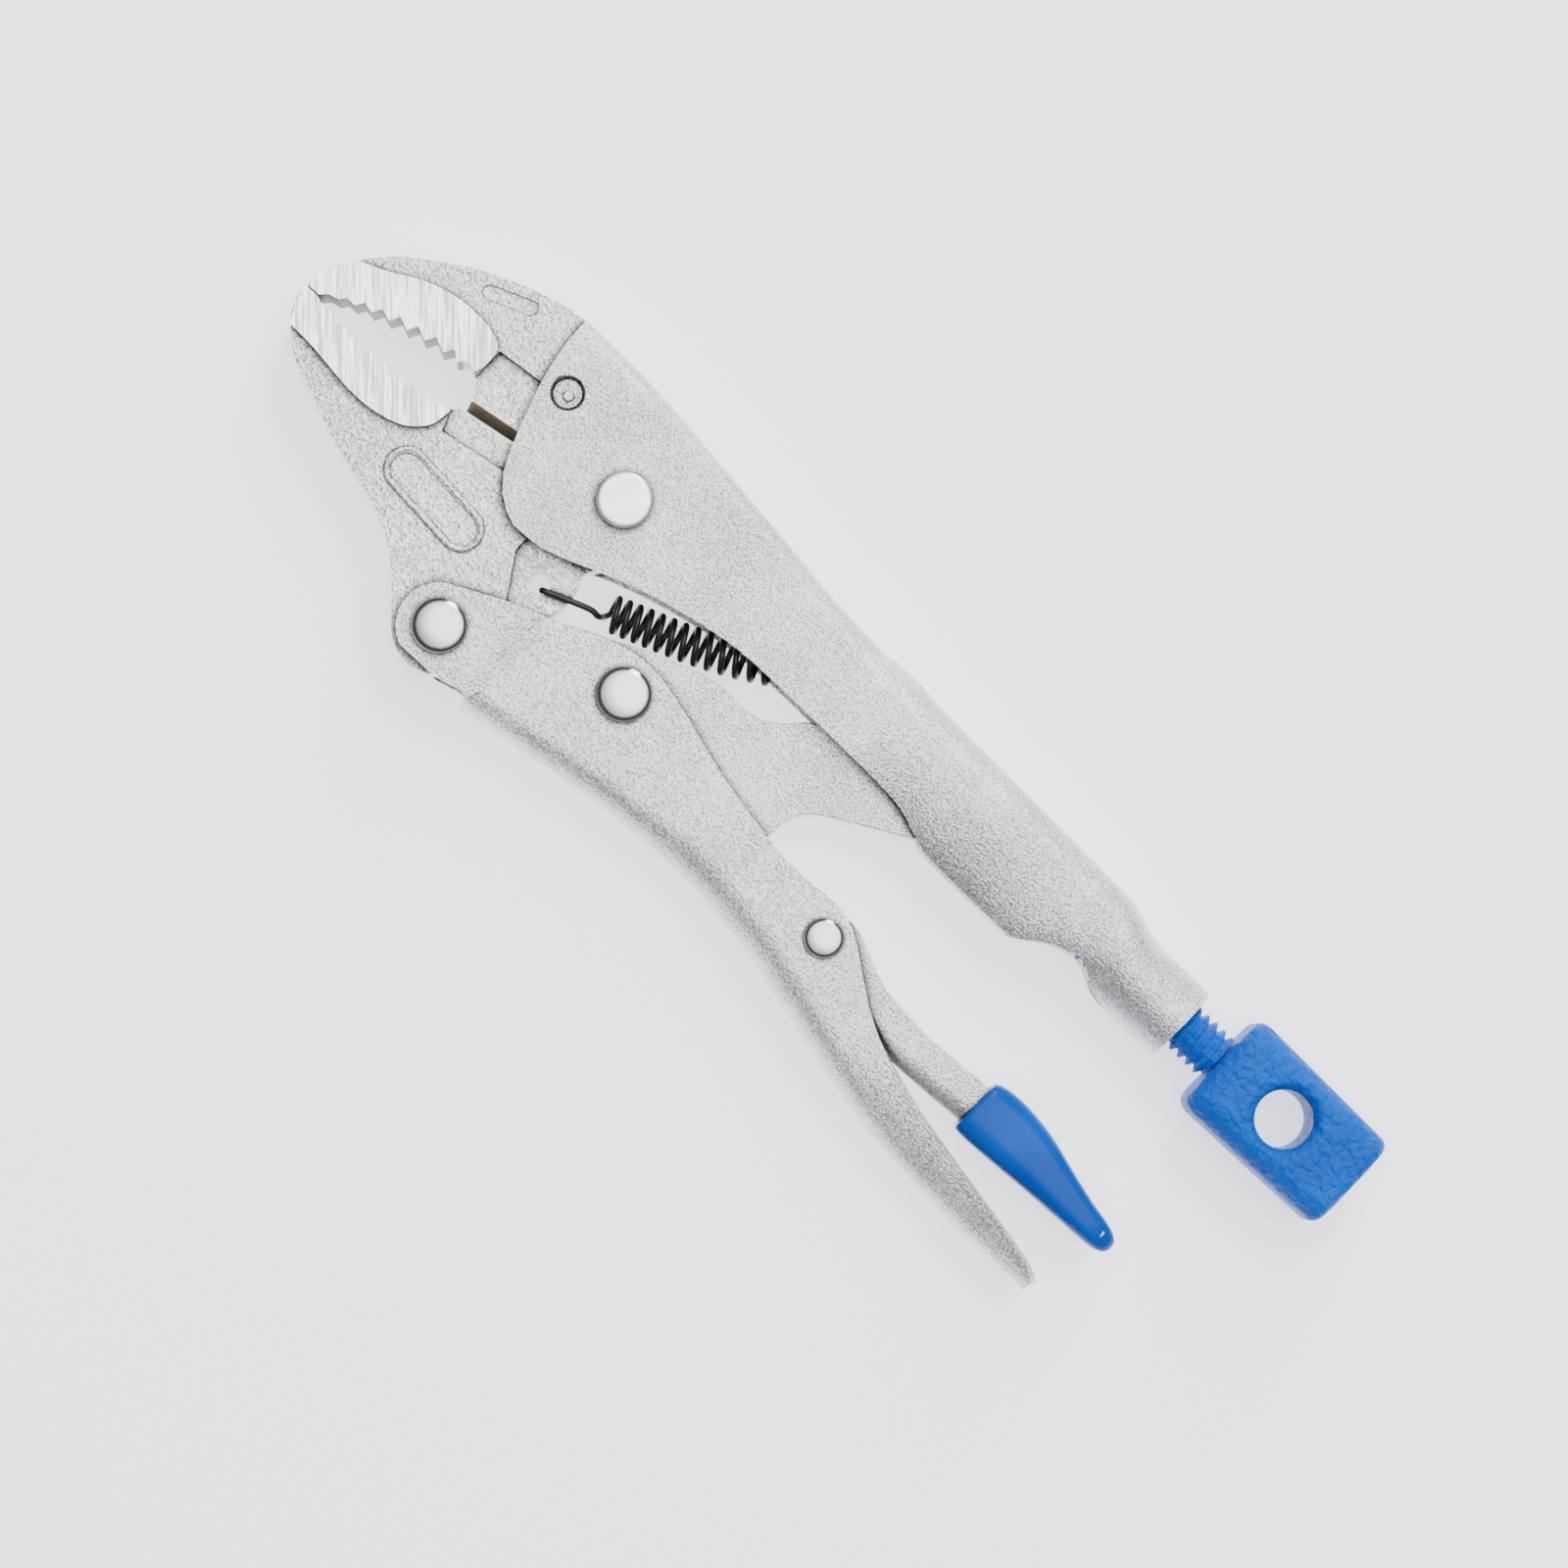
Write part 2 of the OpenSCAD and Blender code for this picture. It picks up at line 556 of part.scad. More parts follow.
module release_lever() {
    stations = concat([52, 60, 68, 72, 76, 79.5, 83, 87, 92, 96, 101], [for (x = [110:12:lever_end - 24]) x],
                      [lever_end - 18, lever_end - 9, lever_end]);
    color("darkgray")
    difference() {
        loft([for (x = stations)
            channel_ring(x, lookup(x, lever_rim), lookup(x, lever_belly), lever_w / 2,
                         lever_corner(x), lever_sheet, 0, -1)]);
        across(lever_pivot, lever_rivet_d + 2 * rivet_gap, lever_w + 1);
    }
}
function lever_corner(x) = min(lever_bend, 0.7 * (lookup(x, lever_rim) - lookup(x, lever_belly)));

module lever_grip() {
    // Top, bottom and half width at each station
    ends = [[0, -29.3, -40.7, -0.3], [2, -28.8, -40.8, 0], [7, -28.4, -40.6, 0], [14, -29.3, -40.2, 0],
            [21, -31.1, -39.6, 0], [28, -33, -38.9, -0.3]];
    cap = [[-1.5, -34.2, -38.3, -0.9], [1.2, -34.9, -37.9, -1.8], [2.6, -35.6, -37.2, -3],
           [3.2, -36.1, -36.7, -4.4]];
    color("dodgerblue")
    difference() {
        loft(concat([for (e = ends) grip_ring(grip_start + e[0], e[1], e[2], e[3])],
                    [for (e = cap) grip_ring(lever_end + e[0], e[1], e[2], e[3])]));
        plate(concat([[grip_start - 1, -39.4]], [for (p = beyond(lever_belly, grip_start)) p - [0, 0.2]],
                     [[lever_end + 0.2, -37.6], [lever_end + 0.2, -35.4]],
                     reversed([for (p = beyond(lever_rim, grip_start)) p + [0, 0.2]]),
                     [[grip_start - 1, -30.8]]), lever_w + 0.1);
    }
}
// A ring round the lever: a rounded box from the bottom to the top
function grip_ring(x, top, low, slim) =
    let (w = lever_w / 2 + grip_coat + slim, h = (top - low) / 2)
    [for (a = [-75:30:285]) if (a < 280) [x, (top + low) / 2 + h * swell(sin(a)), mid_z - w * swell(cos(a))]];
function swell(c) = sign(c) * pow(abs(c), 0.6);

module lever_rivet() {
    color("whitesmoke")
    rivet(lever_pivot, lever_rivet_d, lever_head_d, channel_w, 1.5, 0.7);
}

module adjusting_screw() {
    point = 1.4;
    stub_d = 6;
    color("dodgerblue")
    union() {
        translate([tip_x, screw_y, mid_z])
        rotate([0, 90, 0])
        cylinder(d1 = screw_d - 2 * point, d2 = screw_d, h = point);
        along(tip_x + point, screw_y, screw_d, head_x - tip_x - point - side_gap);
        along(head_x - side_gap - 1, screw_y, stub_d, 7);
    }
}

module screw_head() {
    corner = 2.4;
    edge_r = 4.2;
    stub_d = 6;
    rear_x = head_x + head_len;
    hole_x = head_x + 15.6;
    color("dodgerblue")
    difference() {
        intersection() {
            translate([0, screw_y, mid_z - head_t])
            linear_extrude(2 * head_t)
            polygon(concat(arc([head_x + corner, head_w / 2 - corner], corner, 180, 90, 5),
                           [[rear_x - 2.2, head_rear_w / 2]],
                           arc([rear_x - 62, 0], 62, 8.6, -8.6, 8),
                           [[rear_x - 2.2, -head_rear_w / 2]],
                           arc([head_x + corner, corner - head_w / 2], corner, -90, -180, 5)));
            translate([head_x - 1, screw_y, mid_z])
            rotate([90, 0, 90])
            linear_extrude(head_len + 2)
            rounded_block(head_w, head_t, edge_r);
        }
        along(head_x - 1, screw_y, stub_d + 2 * rivet_gap, 7.6);
        across([hole_x, screw_y], head_hole_d, head_t + 1);
        for (side = [0, 1])
            translate([hole_x, screw_y, mid_z])
            mirror([0, 0, side])
            translate([0, 0, head_t / 2 - 2.2])
            cylinder(d1 = head_hole_d, d2 = head_rim_d, h = 2.21);
    }
}

// A rectangle with round corners
module rounded_block(w, h, r) {
    square([w - 2 * r, h], center = true);
    square([w, h - 2 * r], center = true);
    for (sx = [-1, 1])
        for (sy = [-1, 1])
            translate([sx * (w / 2 - r), sy * (h / 2 - r)])
            circle(r = r);
}

module return_spring() {
    start = [12, -16, mid_z];
    finish = [50, 1.6, mid_z];
    dir = (finish - start) / norm(finish - start);
    hook = [spring_hook[0], spring_hook[1], mid_z + tab_t / 2 + 0.8];
    elbow = [7, -19.4, hook[2]];
    anchor = [58.8, 7.2, mid_z + 3.2];
    color("dimgray")
    union() {
        difference() {
            rod(start, finish, coil_d);
            rod(start + dir * wire_d, finish - dir * wire_d, coil_d - 2 * wire_d);
        }
        rod(start + dir * 0.5, elbow + 0.2 * (elbow - start) / norm(elbow - start), wire_d);
        rod(elbow + [0.3, 0.15, 0], hook + [-0.2, -0.1, 0], 1.04 * wire_d);
        rod(hook + [0, 0, 0.3], [hook[0], hook[1], mid_z + 1], 0.9 * wire_d);
        rod(finish - dir * 0.5, anchor + 0.2 * dir, wire_d);
        rod(anchor + [0, 0, 0.3], [anchor[0], anchor[1], mid_z - 2.2], 0.9 * wire_d);
    }
}

upper_handle();
upper_jaw();
jaw_stake_pin();
main_rivet();
lower_jaw();
lower_handle();
handle_rivet();
toggle_link();
link_rivet();
release_lever();
lever_grip();
lever_rivet();
adjusting_screw();
screw_head();
return_spring();
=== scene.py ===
"""Locking pliers: the visible meshes, materials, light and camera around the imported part."""

import json
import math

import bmesh
import bpy
import numpy as np
from mathutils import Matrix, Vector

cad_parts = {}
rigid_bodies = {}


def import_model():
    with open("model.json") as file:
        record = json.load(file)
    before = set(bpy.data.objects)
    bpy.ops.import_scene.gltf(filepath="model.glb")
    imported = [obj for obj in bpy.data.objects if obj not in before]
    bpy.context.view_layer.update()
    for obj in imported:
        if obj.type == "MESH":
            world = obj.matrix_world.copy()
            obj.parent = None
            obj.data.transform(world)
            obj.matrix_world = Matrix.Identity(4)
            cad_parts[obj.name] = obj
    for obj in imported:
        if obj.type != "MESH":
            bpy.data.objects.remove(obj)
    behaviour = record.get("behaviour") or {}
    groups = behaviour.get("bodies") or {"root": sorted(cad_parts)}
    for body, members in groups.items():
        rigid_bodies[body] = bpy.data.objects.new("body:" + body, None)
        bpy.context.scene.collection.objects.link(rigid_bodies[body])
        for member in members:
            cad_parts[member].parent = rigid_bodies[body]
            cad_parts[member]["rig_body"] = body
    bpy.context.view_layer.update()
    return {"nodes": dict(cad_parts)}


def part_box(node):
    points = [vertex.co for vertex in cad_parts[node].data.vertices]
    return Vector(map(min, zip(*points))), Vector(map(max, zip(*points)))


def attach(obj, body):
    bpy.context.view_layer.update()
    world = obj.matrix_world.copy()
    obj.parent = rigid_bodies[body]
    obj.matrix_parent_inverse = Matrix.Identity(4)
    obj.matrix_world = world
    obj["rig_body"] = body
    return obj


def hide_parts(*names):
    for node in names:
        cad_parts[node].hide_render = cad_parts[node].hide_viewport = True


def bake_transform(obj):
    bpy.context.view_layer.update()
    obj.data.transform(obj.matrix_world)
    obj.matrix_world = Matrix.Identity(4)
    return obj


MM = 0.001
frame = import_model()

low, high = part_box("upper_handle")
# Height of the middle plane, which every piece is built around
MID = (low[2] + high[2]) / 2 / MM


def half_depth(node):
    """Half the size of a CAD node across the tool, in millimetres."""
    a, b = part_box(node)
    return (b[2] - a[2]) / 2 / MM


# Sheet and rivet head thicknesses
UPPER_SHEET, LOWER_SHEET, LEVER_SHEET = 2.2, 2.0, 1.5
HEAD_T = 2.0
# Half the upper handle's width at its walls: the main rivet's heads stand on it
HALF = half_depth("main_rivet") - HEAD_T
# Pivots and the screw's axis, in the XY plane
P_MAIN = (0.0, 0.0)
P_HANDLE = (-8.4, -39.9)
P_LINK = (24.5, -25.6)
P_LEVER = (81.6, -32.4)
P_STAKE = (-21.0, 7.0)
SCREW_Y = 2.0


# ---------------------------------------------------------------- curves
def curve(points, n=5):
    """A smooth line through points, n steps to a span."""
    p = [Vector((*q, 0.0)) if len(q) == 2 else Vector(q) for q in points]
    out = []
    for i in range(len(p) - 1):
        a, b, c, d = p[max(i - 1, 0)], p[i], p[i + 1], p[min(i + 2, len(p) - 1)]
        for k in range(n):
            t = k / n
            out.append(0.5 * (2 * b + (c - a) * t + (2 * a - 5 * b + 4 * c - d) * t * t
                              + (3 * b - a - 3 * c + d) * t ** 3))
    out.append(p[-1])
    return [tuple(v[:len(points[0])]) for v in out]


def at(line, x):
    """Height of a line at x. The line's points run forward in x."""
    return float(np.interp(x, [p[0] for p in line], [p[1] for p in line]))


def smooth(x, a, b):
    """0 up to a, 1 from b on, and an even curve between them."""
    t = min(max((x - a) / (b - a), 0.0), 1.0)
    return t * t * (3 - 2 * t)


# ---------------------------------------------------------------- mesh helpers
def new_object(name, verts, faces, material, body):
    """A mesh from points in millimetres, which rides on a body."""
    mesh = bpy.data.meshes.new(name)
    mesh.from_pydata([tuple(c * MM for c in v) for v in verts], [], faces)
    mesh.validate()
    obj = bpy.data.objects.new(name, mesh)
    bpy.context.scene.collection.objects.link(obj)
    mesh.materials.append(material)
    clean(obj)
    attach(obj, body)
    return obj


def clean(obj):
    """Welds a mesh, drops its empty faces and turns all faces outwards."""
    merge = 0.02 * MM
    bm = bmesh.new()
    bm.from_mesh(obj.data)
    bmesh.ops.remove_doubles(bm, verts=bm.verts, dist=merge)
    bmesh.ops.dissolve_degenerate(bm, edges=bm.edges, dist=merge / 2)
    bmesh.ops.recalc_face_normals(bm, faces=bm.faces)
    bm.to_mesh(obj.data)
    bm.free()
    for p in obj.data.polygons:
        p.use_smooth = True


def bevel(obj, width, segments=3, angle=35):
    """Rounds the edges that are sharper than angle."""
    m = obj.modifiers.new("bevel", "BEVEL")
    m.width = width * MM
    m.segments = segments
    m.limit_method = "ANGLE"
    m.angle_limit = math.radians(angle)
    m.use_clamp_overlap = True
    m.harden_normals = False
    return obj


def finish_normals(obj):
    w = obj.modifiers.new("normals", "WEIGHTED_NORMAL")
    w.keep_sharp = True
    return obj


def solidify(obj, thickness):
    """Gives a surface its sheet thickness, inwards."""
    s = obj.modifiers.new("sheet", "SOLIDIFY")
    s.thickness = thickness * MM
    s.offset = -1
    s.use_even_offset = True
    s.use_quality_normals = True
    return obj


def cut(obj, tool):
    """Takes the tool's shape away from obj."""
    b = obj.modifiers.new("cut", "BOOLEAN")
    b.operation = "DIFFERENCE"
    b.object = tool
    b.solver = "EXACT"
    return obj


def apply_all(obj):
    """Turns the modifiers so far into mesh, so that a cutter can be removed."""
    graph = bpy.context.evaluated_depsgraph_get()
    mesh = bpy.data.meshes.new_from_object(obj.evaluated_get(graph))
    obj.modifiers.clear()
    old = obj.data
    obj.data = mesh
    bpy.data.meshes.remove(old)
    return obj


def drop(*objs):
    for o in objs:
        bpy.data.objects.remove(o)


def plate(name, outline, thickness, material, body, width=0.4):
    """A flat plate with its outline in the XY plane, centred on the middle plane, with rounded edges."""
    keep = [p for i, p in enumerate(outline)
            if math.dist(p, outline[(i + 1) % len(outline)]) > 0.03]
    n = len(keep)
    verts = [(x, y, MID + side * thickness / 2) for side in (-1, 1) for x, y in keep]
    faces = [list(range(n))[::-1], list(range(n, 2 * n))]
    faces += [[i, (i + 1) % n, n + (i + 1) % n, n + i] for i in range(n)]
    obj = new_object(name, verts, faces, material, body)
    return bevel(obj, width)


def lathe(name, profile, centre, material, body, axis="Z", steps=64):
    """Turns a profile of (radius, height) round an axis through centre."""
    verts, faces = [], []
    m = len(profile)
    for k in range(steps):
        a = 2 * math.pi * k / steps
        for r, h in profile:
            p = (r * math.cos(a), r * math.sin(a), h)
            verts.append((h, p[0], p[1]) if axis == "X" else p)
    verts = [(v[0] + centre[0], v[1] + centre[1], v[2] + centre[2]) for v in verts]
    for k in range(steps):
        for i in range(m - 1):
            a, b = k * m + i, ((k + 1) % steps) * m + i
            faces.append([a, b, b + 1, a + 1])
    if profile[0][0] > 0.001:
        faces.append([k * m for k in range(steps)][::-1])
    if profile[-1][0] > 0.001:
        faces.append([k * m + m - 1 for k in range(steps)])
    return new_object(name, verts, faces, material, body)


def grid(name, rows, material, body, skip=None):
    """Faces between rows of points. skip(i, j) leaves a face out."""
    n = len(rows[0])
    verts = [p for r in rows for p in r]
    faces = [[i * n + j, (i + 1) * n + j, (i + 1) * n + j + 1, i * n + j + 1]
             for i in range(len(rows) - 1) for j in range(n - 1) if not (skip and skip(i, j))]
    return new_object(name, verts, faces, material, body)


def tube(name, path, radius, material, body, sides):
    """A wire of round section along a path."""
    pts = [Vector(p) for p in path]
    tangents = [(pts[min(i + 1, len(pts) - 1)] - pts[max(i - 1, 0)]).normalized() for i in range(len(pts))]
    side = tangents[0].orthogonal().normalized()
    verts, faces = [], []
    for i, p in enumerate(pts):
        if i:
            q = tangents[i - 1].rotation_difference(tangents[i])
            side = q @ side
        side = (side - tangents[i] * side.dot(tangents[i])).normalized()
        up = tangents[i].cross(side)
        for k in range(sides):
            a = 2 * math.pi * k / sides
            verts.append(tuple(p + radius * (math.cos(a) * side + math.sin(a) * up)))
    for i in range(len(pts) - 1):
        for k in range(sides):
            a, b = i * sides + k, i * sides + (k + 1) % sides
            faces.append([a, b, b + sides, a + sides])
    faces.append(list(range(sides))[::-1])
    faces.append([(len(pts) - 1) * sides + k for k in range(sides)])
    return new_object(name, verts, faces, material, body)


# ---------------------------------------------------------------- materials
def node_material(name):
    """A new material with one Principled shader, and the nodes that its function needs."""
    mat = bpy.data.materials.new(name)
    mat.use_nodes = True
    nodes, links = mat.node_tree.nodes, mat.node_tree.links
    nodes.clear()
    out = nodes.new("ShaderNodeOutputMaterial")
    shader = nodes.new("ShaderNodeBsdfPrincipled")
    links.new(shader.outputs[0], out.inputs[0])
    coord = nodes.new("ShaderNodeTexCoord")
    return mat, nodes, links, shader, coord


def noise_node(nodes, links, coord, scale, detail=4, rough=0.55):
    tex = nodes.new("ShaderNodeTexNoise")
    tex.inputs["Scale"].default_value = scale
    tex.inputs["Detail"].default_value = detail
    tex.inputs["Roughness"].default_value = rough
    links.new(coord.outputs["Object"], tex.inputs["Vector"])
    return tex


def ramp(nodes, links, source, low, high, at_low=0.35, at_high=0.65):
    """A value that goes from low to high while source goes from at_low to at_high."""
    r = nodes.new("ShaderNodeMapRange")
    r.inputs["From Min"].default_value = at_low
    r.inputs["From Max"].default_value = at_high
    r.inputs["To Min"].default_value = low
    r.inputs["To Max"].default_value = high
    links.new(source, r.inputs["Value"])
    return r.outputs[0]


def mix_colour(nodes, links, factor, a, b):
    m = nodes.new("ShaderNodeMix")
    m.data_type = "RGBA"
    m.inputs["A"].default_value = (*a, 1)
    m.inputs["B"].default_value = (*b, 1)
    links.new(factor, m.inputs["Factor"])
    return m.outputs["Result"]


def bump(nodes, links, shader, height, distance, strength, previous=None):
    b = nodes.new("ShaderNodeBump")
    b.inputs["Distance"].default_value = distance
    b.inputs["Strength"].default_value = strength
    links.new(height, b.inputs["Height"])
    if previous is not None:
        links.new(previous, b.inputs["Normal"])
    links.new(b.outputs[0], shader.inputs["Normal"])
    return b.outputs[0]


def satin_nickel(name, size=0.0005, light=(0.9, 0.87, 0.85), dark=(0.72, 0.69, 0.67), depth=0.0003,
                 pits=0.62):
    """Blasted and plated steel: a grain of that size in metres, with darker pits and painted shade in its
    corners and hollows.
    """
    mat, nodes, links, shader, coord = node_material(name)
    shader.inputs["Metallic"].default_value = 1.0
    cloud = noise_node(nodes, links, coord, 60, 5)
    grain = noise_node(nodes, links, coord, 1 / size, 2, rough=0.6)
    fine = noise_node(nodes, links, coord, 3.1 / size, 2)
    tone = mix_colour(nodes, links, ramp(nodes, links, cloud.outputs["Fac"], 0, 1), dark, light)
    pit = ramp(nodes, links, grain.outputs["Fac"], pits, 1.0, 0.4, 0.54)
    shade = nodes.new("ShaderNodeVectorMath")
    shade.operation = "SCALE"
    links.new(tone, shade.inputs[0])
    # Painted shade: an ambient occlusion node darkens the base colour in corners, hollows and the gaps
    # between parts, where shade falls.
    crevice = nodes.new("ShaderNodeAmbientOcclusion")
    crevice.samples = 8
    crevice.inputs["Distance"].default_value = 0.0024
    painted_crevice_shade = ramp(nodes, links, crevice.outputs["AO"], 0.03, 1.0, 0.5, 0.93)
    both = nodes.new("ShaderNodeMath")
    both.operation = "MULTIPLY"
    links.new(pit, both.inputs[0])
    links.new(painted_crevice_shade, both.inputs[1])
    links.new(both.outputs[0], shade.inputs["Scale"])
    links.new(shade.outputs[0], shader.inputs["Base Color"])
    links.new(ramp(nodes, links, fine.outputs["Fac"], 0.2, 0.3), shader.inputs["Roughness"])
    first = bump(nodes, links, shader, grain.outputs["Fac"], depth, 1.0)
    bump(nodes, links, shader, fine.outputs["Fac"], depth * 0.35, 0.6, first)
    return mat


def ground_steel(name, colour=(0.8, 0.785, 0.77), dark=(0.42, 0.41, 0.4), angle=-46, rough=0.26):
    """Ground steel: fine lines along angle, in degrees from +X."""
    mat, nodes, links, shader, coord = node_material(name)
    shader.inputs["Metallic"].default_value = 1.0
    turn = nodes.new("ShaderNodeMapping")
    turn.inputs["Rotation"].default_value = (0, 0, math.radians(-angle))
    links.new(coord.outputs["Object"], turn.inputs["Vector"])
    thin = nodes.new("ShaderNodeMapping")
    thin.inputs["Scale"].default_value = (0.06, 1, 1)
    links.new(turn.outputs[0], thin.inputs["Vector"])
    lines = nodes.new("ShaderNodeTexNoise")
    lines.inputs["Scale"].default_value = 2000
    lines.inputs["Detail"].default_value = 3
    links.new(thin.outputs[0], lines.inputs["Vector"])
    tone = mix_colour(nodes, links, ramp(nodes, links, lines.outputs["Fac"], 0, 1, 0.42, 0.58), dark, colour)
    links.new(tone, shader.inputs["Base Color"])
    links.new(ramp(nodes, links, lines.outputs["Fac"], rough + 0.1, rough - 0.05), shader.inputs["Roughness"])
    bump(nodes, links, shader, lines.outputs["Fac"], 0.00005, 0.6)
    return mat


def plain_metal(name, colour, rough, metallic=1.0):
    mat, nodes, links, shader, coord = node_material(name)
    shader.inputs["Metallic"].default_value = metallic
    shader.inputs["Base Color"].default_value = (*colour, 1)
    tex = noise_node(nodes, links, coord, 600, 4)
    links.new(ramp(nodes, links, tex.outputs["Fac"], rough * 0.85, rough * 1.25), shader.inputs["Roughness"])
    bump(nodes, links, shader, tex.outputs["Fac"], 0.00003, 0.2)
    return mat


def pebbled_blue(name):
    """The screw's thick coating, with a pebbled surface."""
    mat, nodes, links, shader, coord = node_material(name)
    shader.inputs["Specular IOR Level"].default_value = 0.1
    pebble = noise_node(nodes, links, coord, 620, 3, rough=0.45)
    shade = noise_node(nodes, links, coord, 90, 4)
    links.new(mix_colour(nodes, links, ramp(nodes, links, shade.outputs["Fac"], 0, 1),
                         (0.0, 0.08, 0.45), (0.0, 0.105, 0.56)), shader.inputs["Base Color"])
    links.new(ramp(nodes, links, pebble.outputs["Fac"], 0.26, 0.4), shader.inputs["Roughness"])
    bump(nodes, links, shader, pebble.outputs["Fac"], 0.0012, 0.8)
    return mat


def glossy_blue(name):
    """The grip's dipped vinyl, smooth and slightly wavy."""
    mat, nodes, links, shader, coord = node_material(name)
    shader.inputs["Roughness"].default_value = 0.12
    shader.inputs["Specular IOR Level"].default_value = 0.1
    wave = noise_node(nodes, links, coord, 70, 2)
    links.new(mix_colour(nodes, links, ramp(nodes, links, wave.outputs["Fac"], 0, 1),
                         (0.0, 0.065, 0.38), (0.0, 0.085, 0.48)), shader.inputs["Base Color"])
    bump(nodes, links, shader, wave.outputs["Fac"], 0.0008, 0.25)
    return mat


def floor_material(name):
    """Matt paper with a little light of its own, the same from everywhere."""
    mat, _, _, shader, _ = node_material(name)
    shader.inputs["Base Color"].default_value = (0.92, 0.92, 0.92, 1)
    shader.inputs["Roughness"].default_value = 0.8
    shader.inputs["Emission Color"].default_value = (1, 1, 1, 1)
    shader.inputs["Emission Strength"].default_value = 1.3
    return mat


NICKEL = satin_nickel("satin_nickel")
JAW = satin_nickel("jaw_nickel", 0.0007, (0.88, 0.855, 0.835), (0.72, 0.695, 0.675), 0.0004, 0.66)
GROUND = ground_steel("ground_steel")
BARE = ground_steel("bare_steel", (1.0, 0.88, 0.7), (0.8, 0.66, 0.5), 80, 0.5)
RIVET = plain_metal("polished_rivet", (0.55, 0.55, 0.57), 0.14)
FLAT_RIVET = plain_metal("brushed_rivet", (0.86, 0.85, 0.83), 0.34)
# The teeth's walls: a dark steel colour that is painted shade, for the shade they stand in.
SHADED_TOOTH = ground_steel("tooth_steel_painted_shade", (0.3, 0.285, 0.265), (0.14, 0.13, 0.12), 20, 0.4)
SPRING = plain_metal("black_oxide", (0.025, 0.025, 0.03), 0.38, 0.7)
BLUE = pebbled_blue("pebbled_blue")
GRIP = glossy_blue("dipped_blue")

FIXED = "fixed_jaw_body"
MOVING = "moving_jaw_body"
LOWER = "lower_handle_body"


# ---------------------------------------------------------------- upper handle
NECK_R = 7.7
NECK_END = 140
# Outlines seen from the side: the closed back, the open edge and the front edge
BACK = curve([(-30, 19.3), (-20, 19.37), (-8, 18.9), (8, 17.3), (24, 15.6), (40, 13.9), (54, 13.2),
              (70, 13.1), (90, 12.8), (116, 12.1), (124, 11.4), (127.5, 10.4), (130.5, SCREW_Y + NECK_R),
              (NECK_END, SCREW_Y + NECK_R)])
OPEN = curve([(-30, -17.1), (-8, -17.1), (0, -15), (8, -11.6), (16, -8.9), (24, -6.9), (33, -5.3),
              (44, -4.8), (60, -4.9), (72, -5.1), (77, -6), (82, -7.7), (87, -8.4), (105, -8.4),
              (107.5, -7.6), (110.5, -5.4), (114, -3.5), (118, -2.5), (122, -3.3), (126, -5.4),
              (130.5, -5.7), (NECK_END, -5.7)])
FRONT = curve([(-28, 20), (-27.6, 14), (-26.8, 9), (-25.4, 3.5), (-23.5, -2), (-21.4, -7.5),
               (-18.8, -12.4), (-15, -15.8), (-11, -17), (-7, -17.1)])


def front_x(y):
    """The handle's front edge: x at height y."""
    return float(np.interp(-y, [-p[1] for p in FRONT], [p[0] for p in FRONT]))


def upper_section(x, s):
    """Outer surface of the upper handle. s runs from -1, the near wall's edge, through 0, the back, to 1."""
    side, t = (1.0 if s < 0 else -1.0), 1 - abs(s)
    back, foot = at(BACK, x), at(OPEN, x)
    r = 2.9 + 2.2 * smooth(x, 20, 75)
    curl = 1.6 * smooth(x, 74, 86) * (1 - 0.4 * smooth(x, 106, 114))
    wall, bend = 0.6, 0.84
    if t < wall:
        y = foot + (back - r - foot) * (t / wall)
        lip = max(0.0, 1 - (y - foot) / 3.2)
        lean = max(0.0, 4.5 - y) / 10 * smooth(x, 56, 74)
        z = HALF - max(curl * lip ** 2, 0.3 * curl * lip ** 2 + 1.9 * lean ** 1.6)
    elif t < bend:
        a = (t - wall) / (bend - wall) * math.pi / 2
        y, z = back - r + r * math.sin(a), HALF - r + r * math.cos(a)
    else:
        y, z = back, (HALF - r) * (1 - (t - bend) / (1 - bend))
        y += 0.5 * smooth(x, 54.8, 56) * (1 - smooth(x, 63, 69)) * smooth(4.4 - z, 0, 1.2)
    round_mix = smooth(x, 117.5, 129.8)
    if round_mix > 0:
        a = math.radians(-89.2 + 179.2 * t)
        y = y + (SCREW_Y + NECK_R * math.sin(a) - y) * round_mix
        z = z + (NECK_R * math.cos(a) - z) * round_mix
    return y, MID + side * z


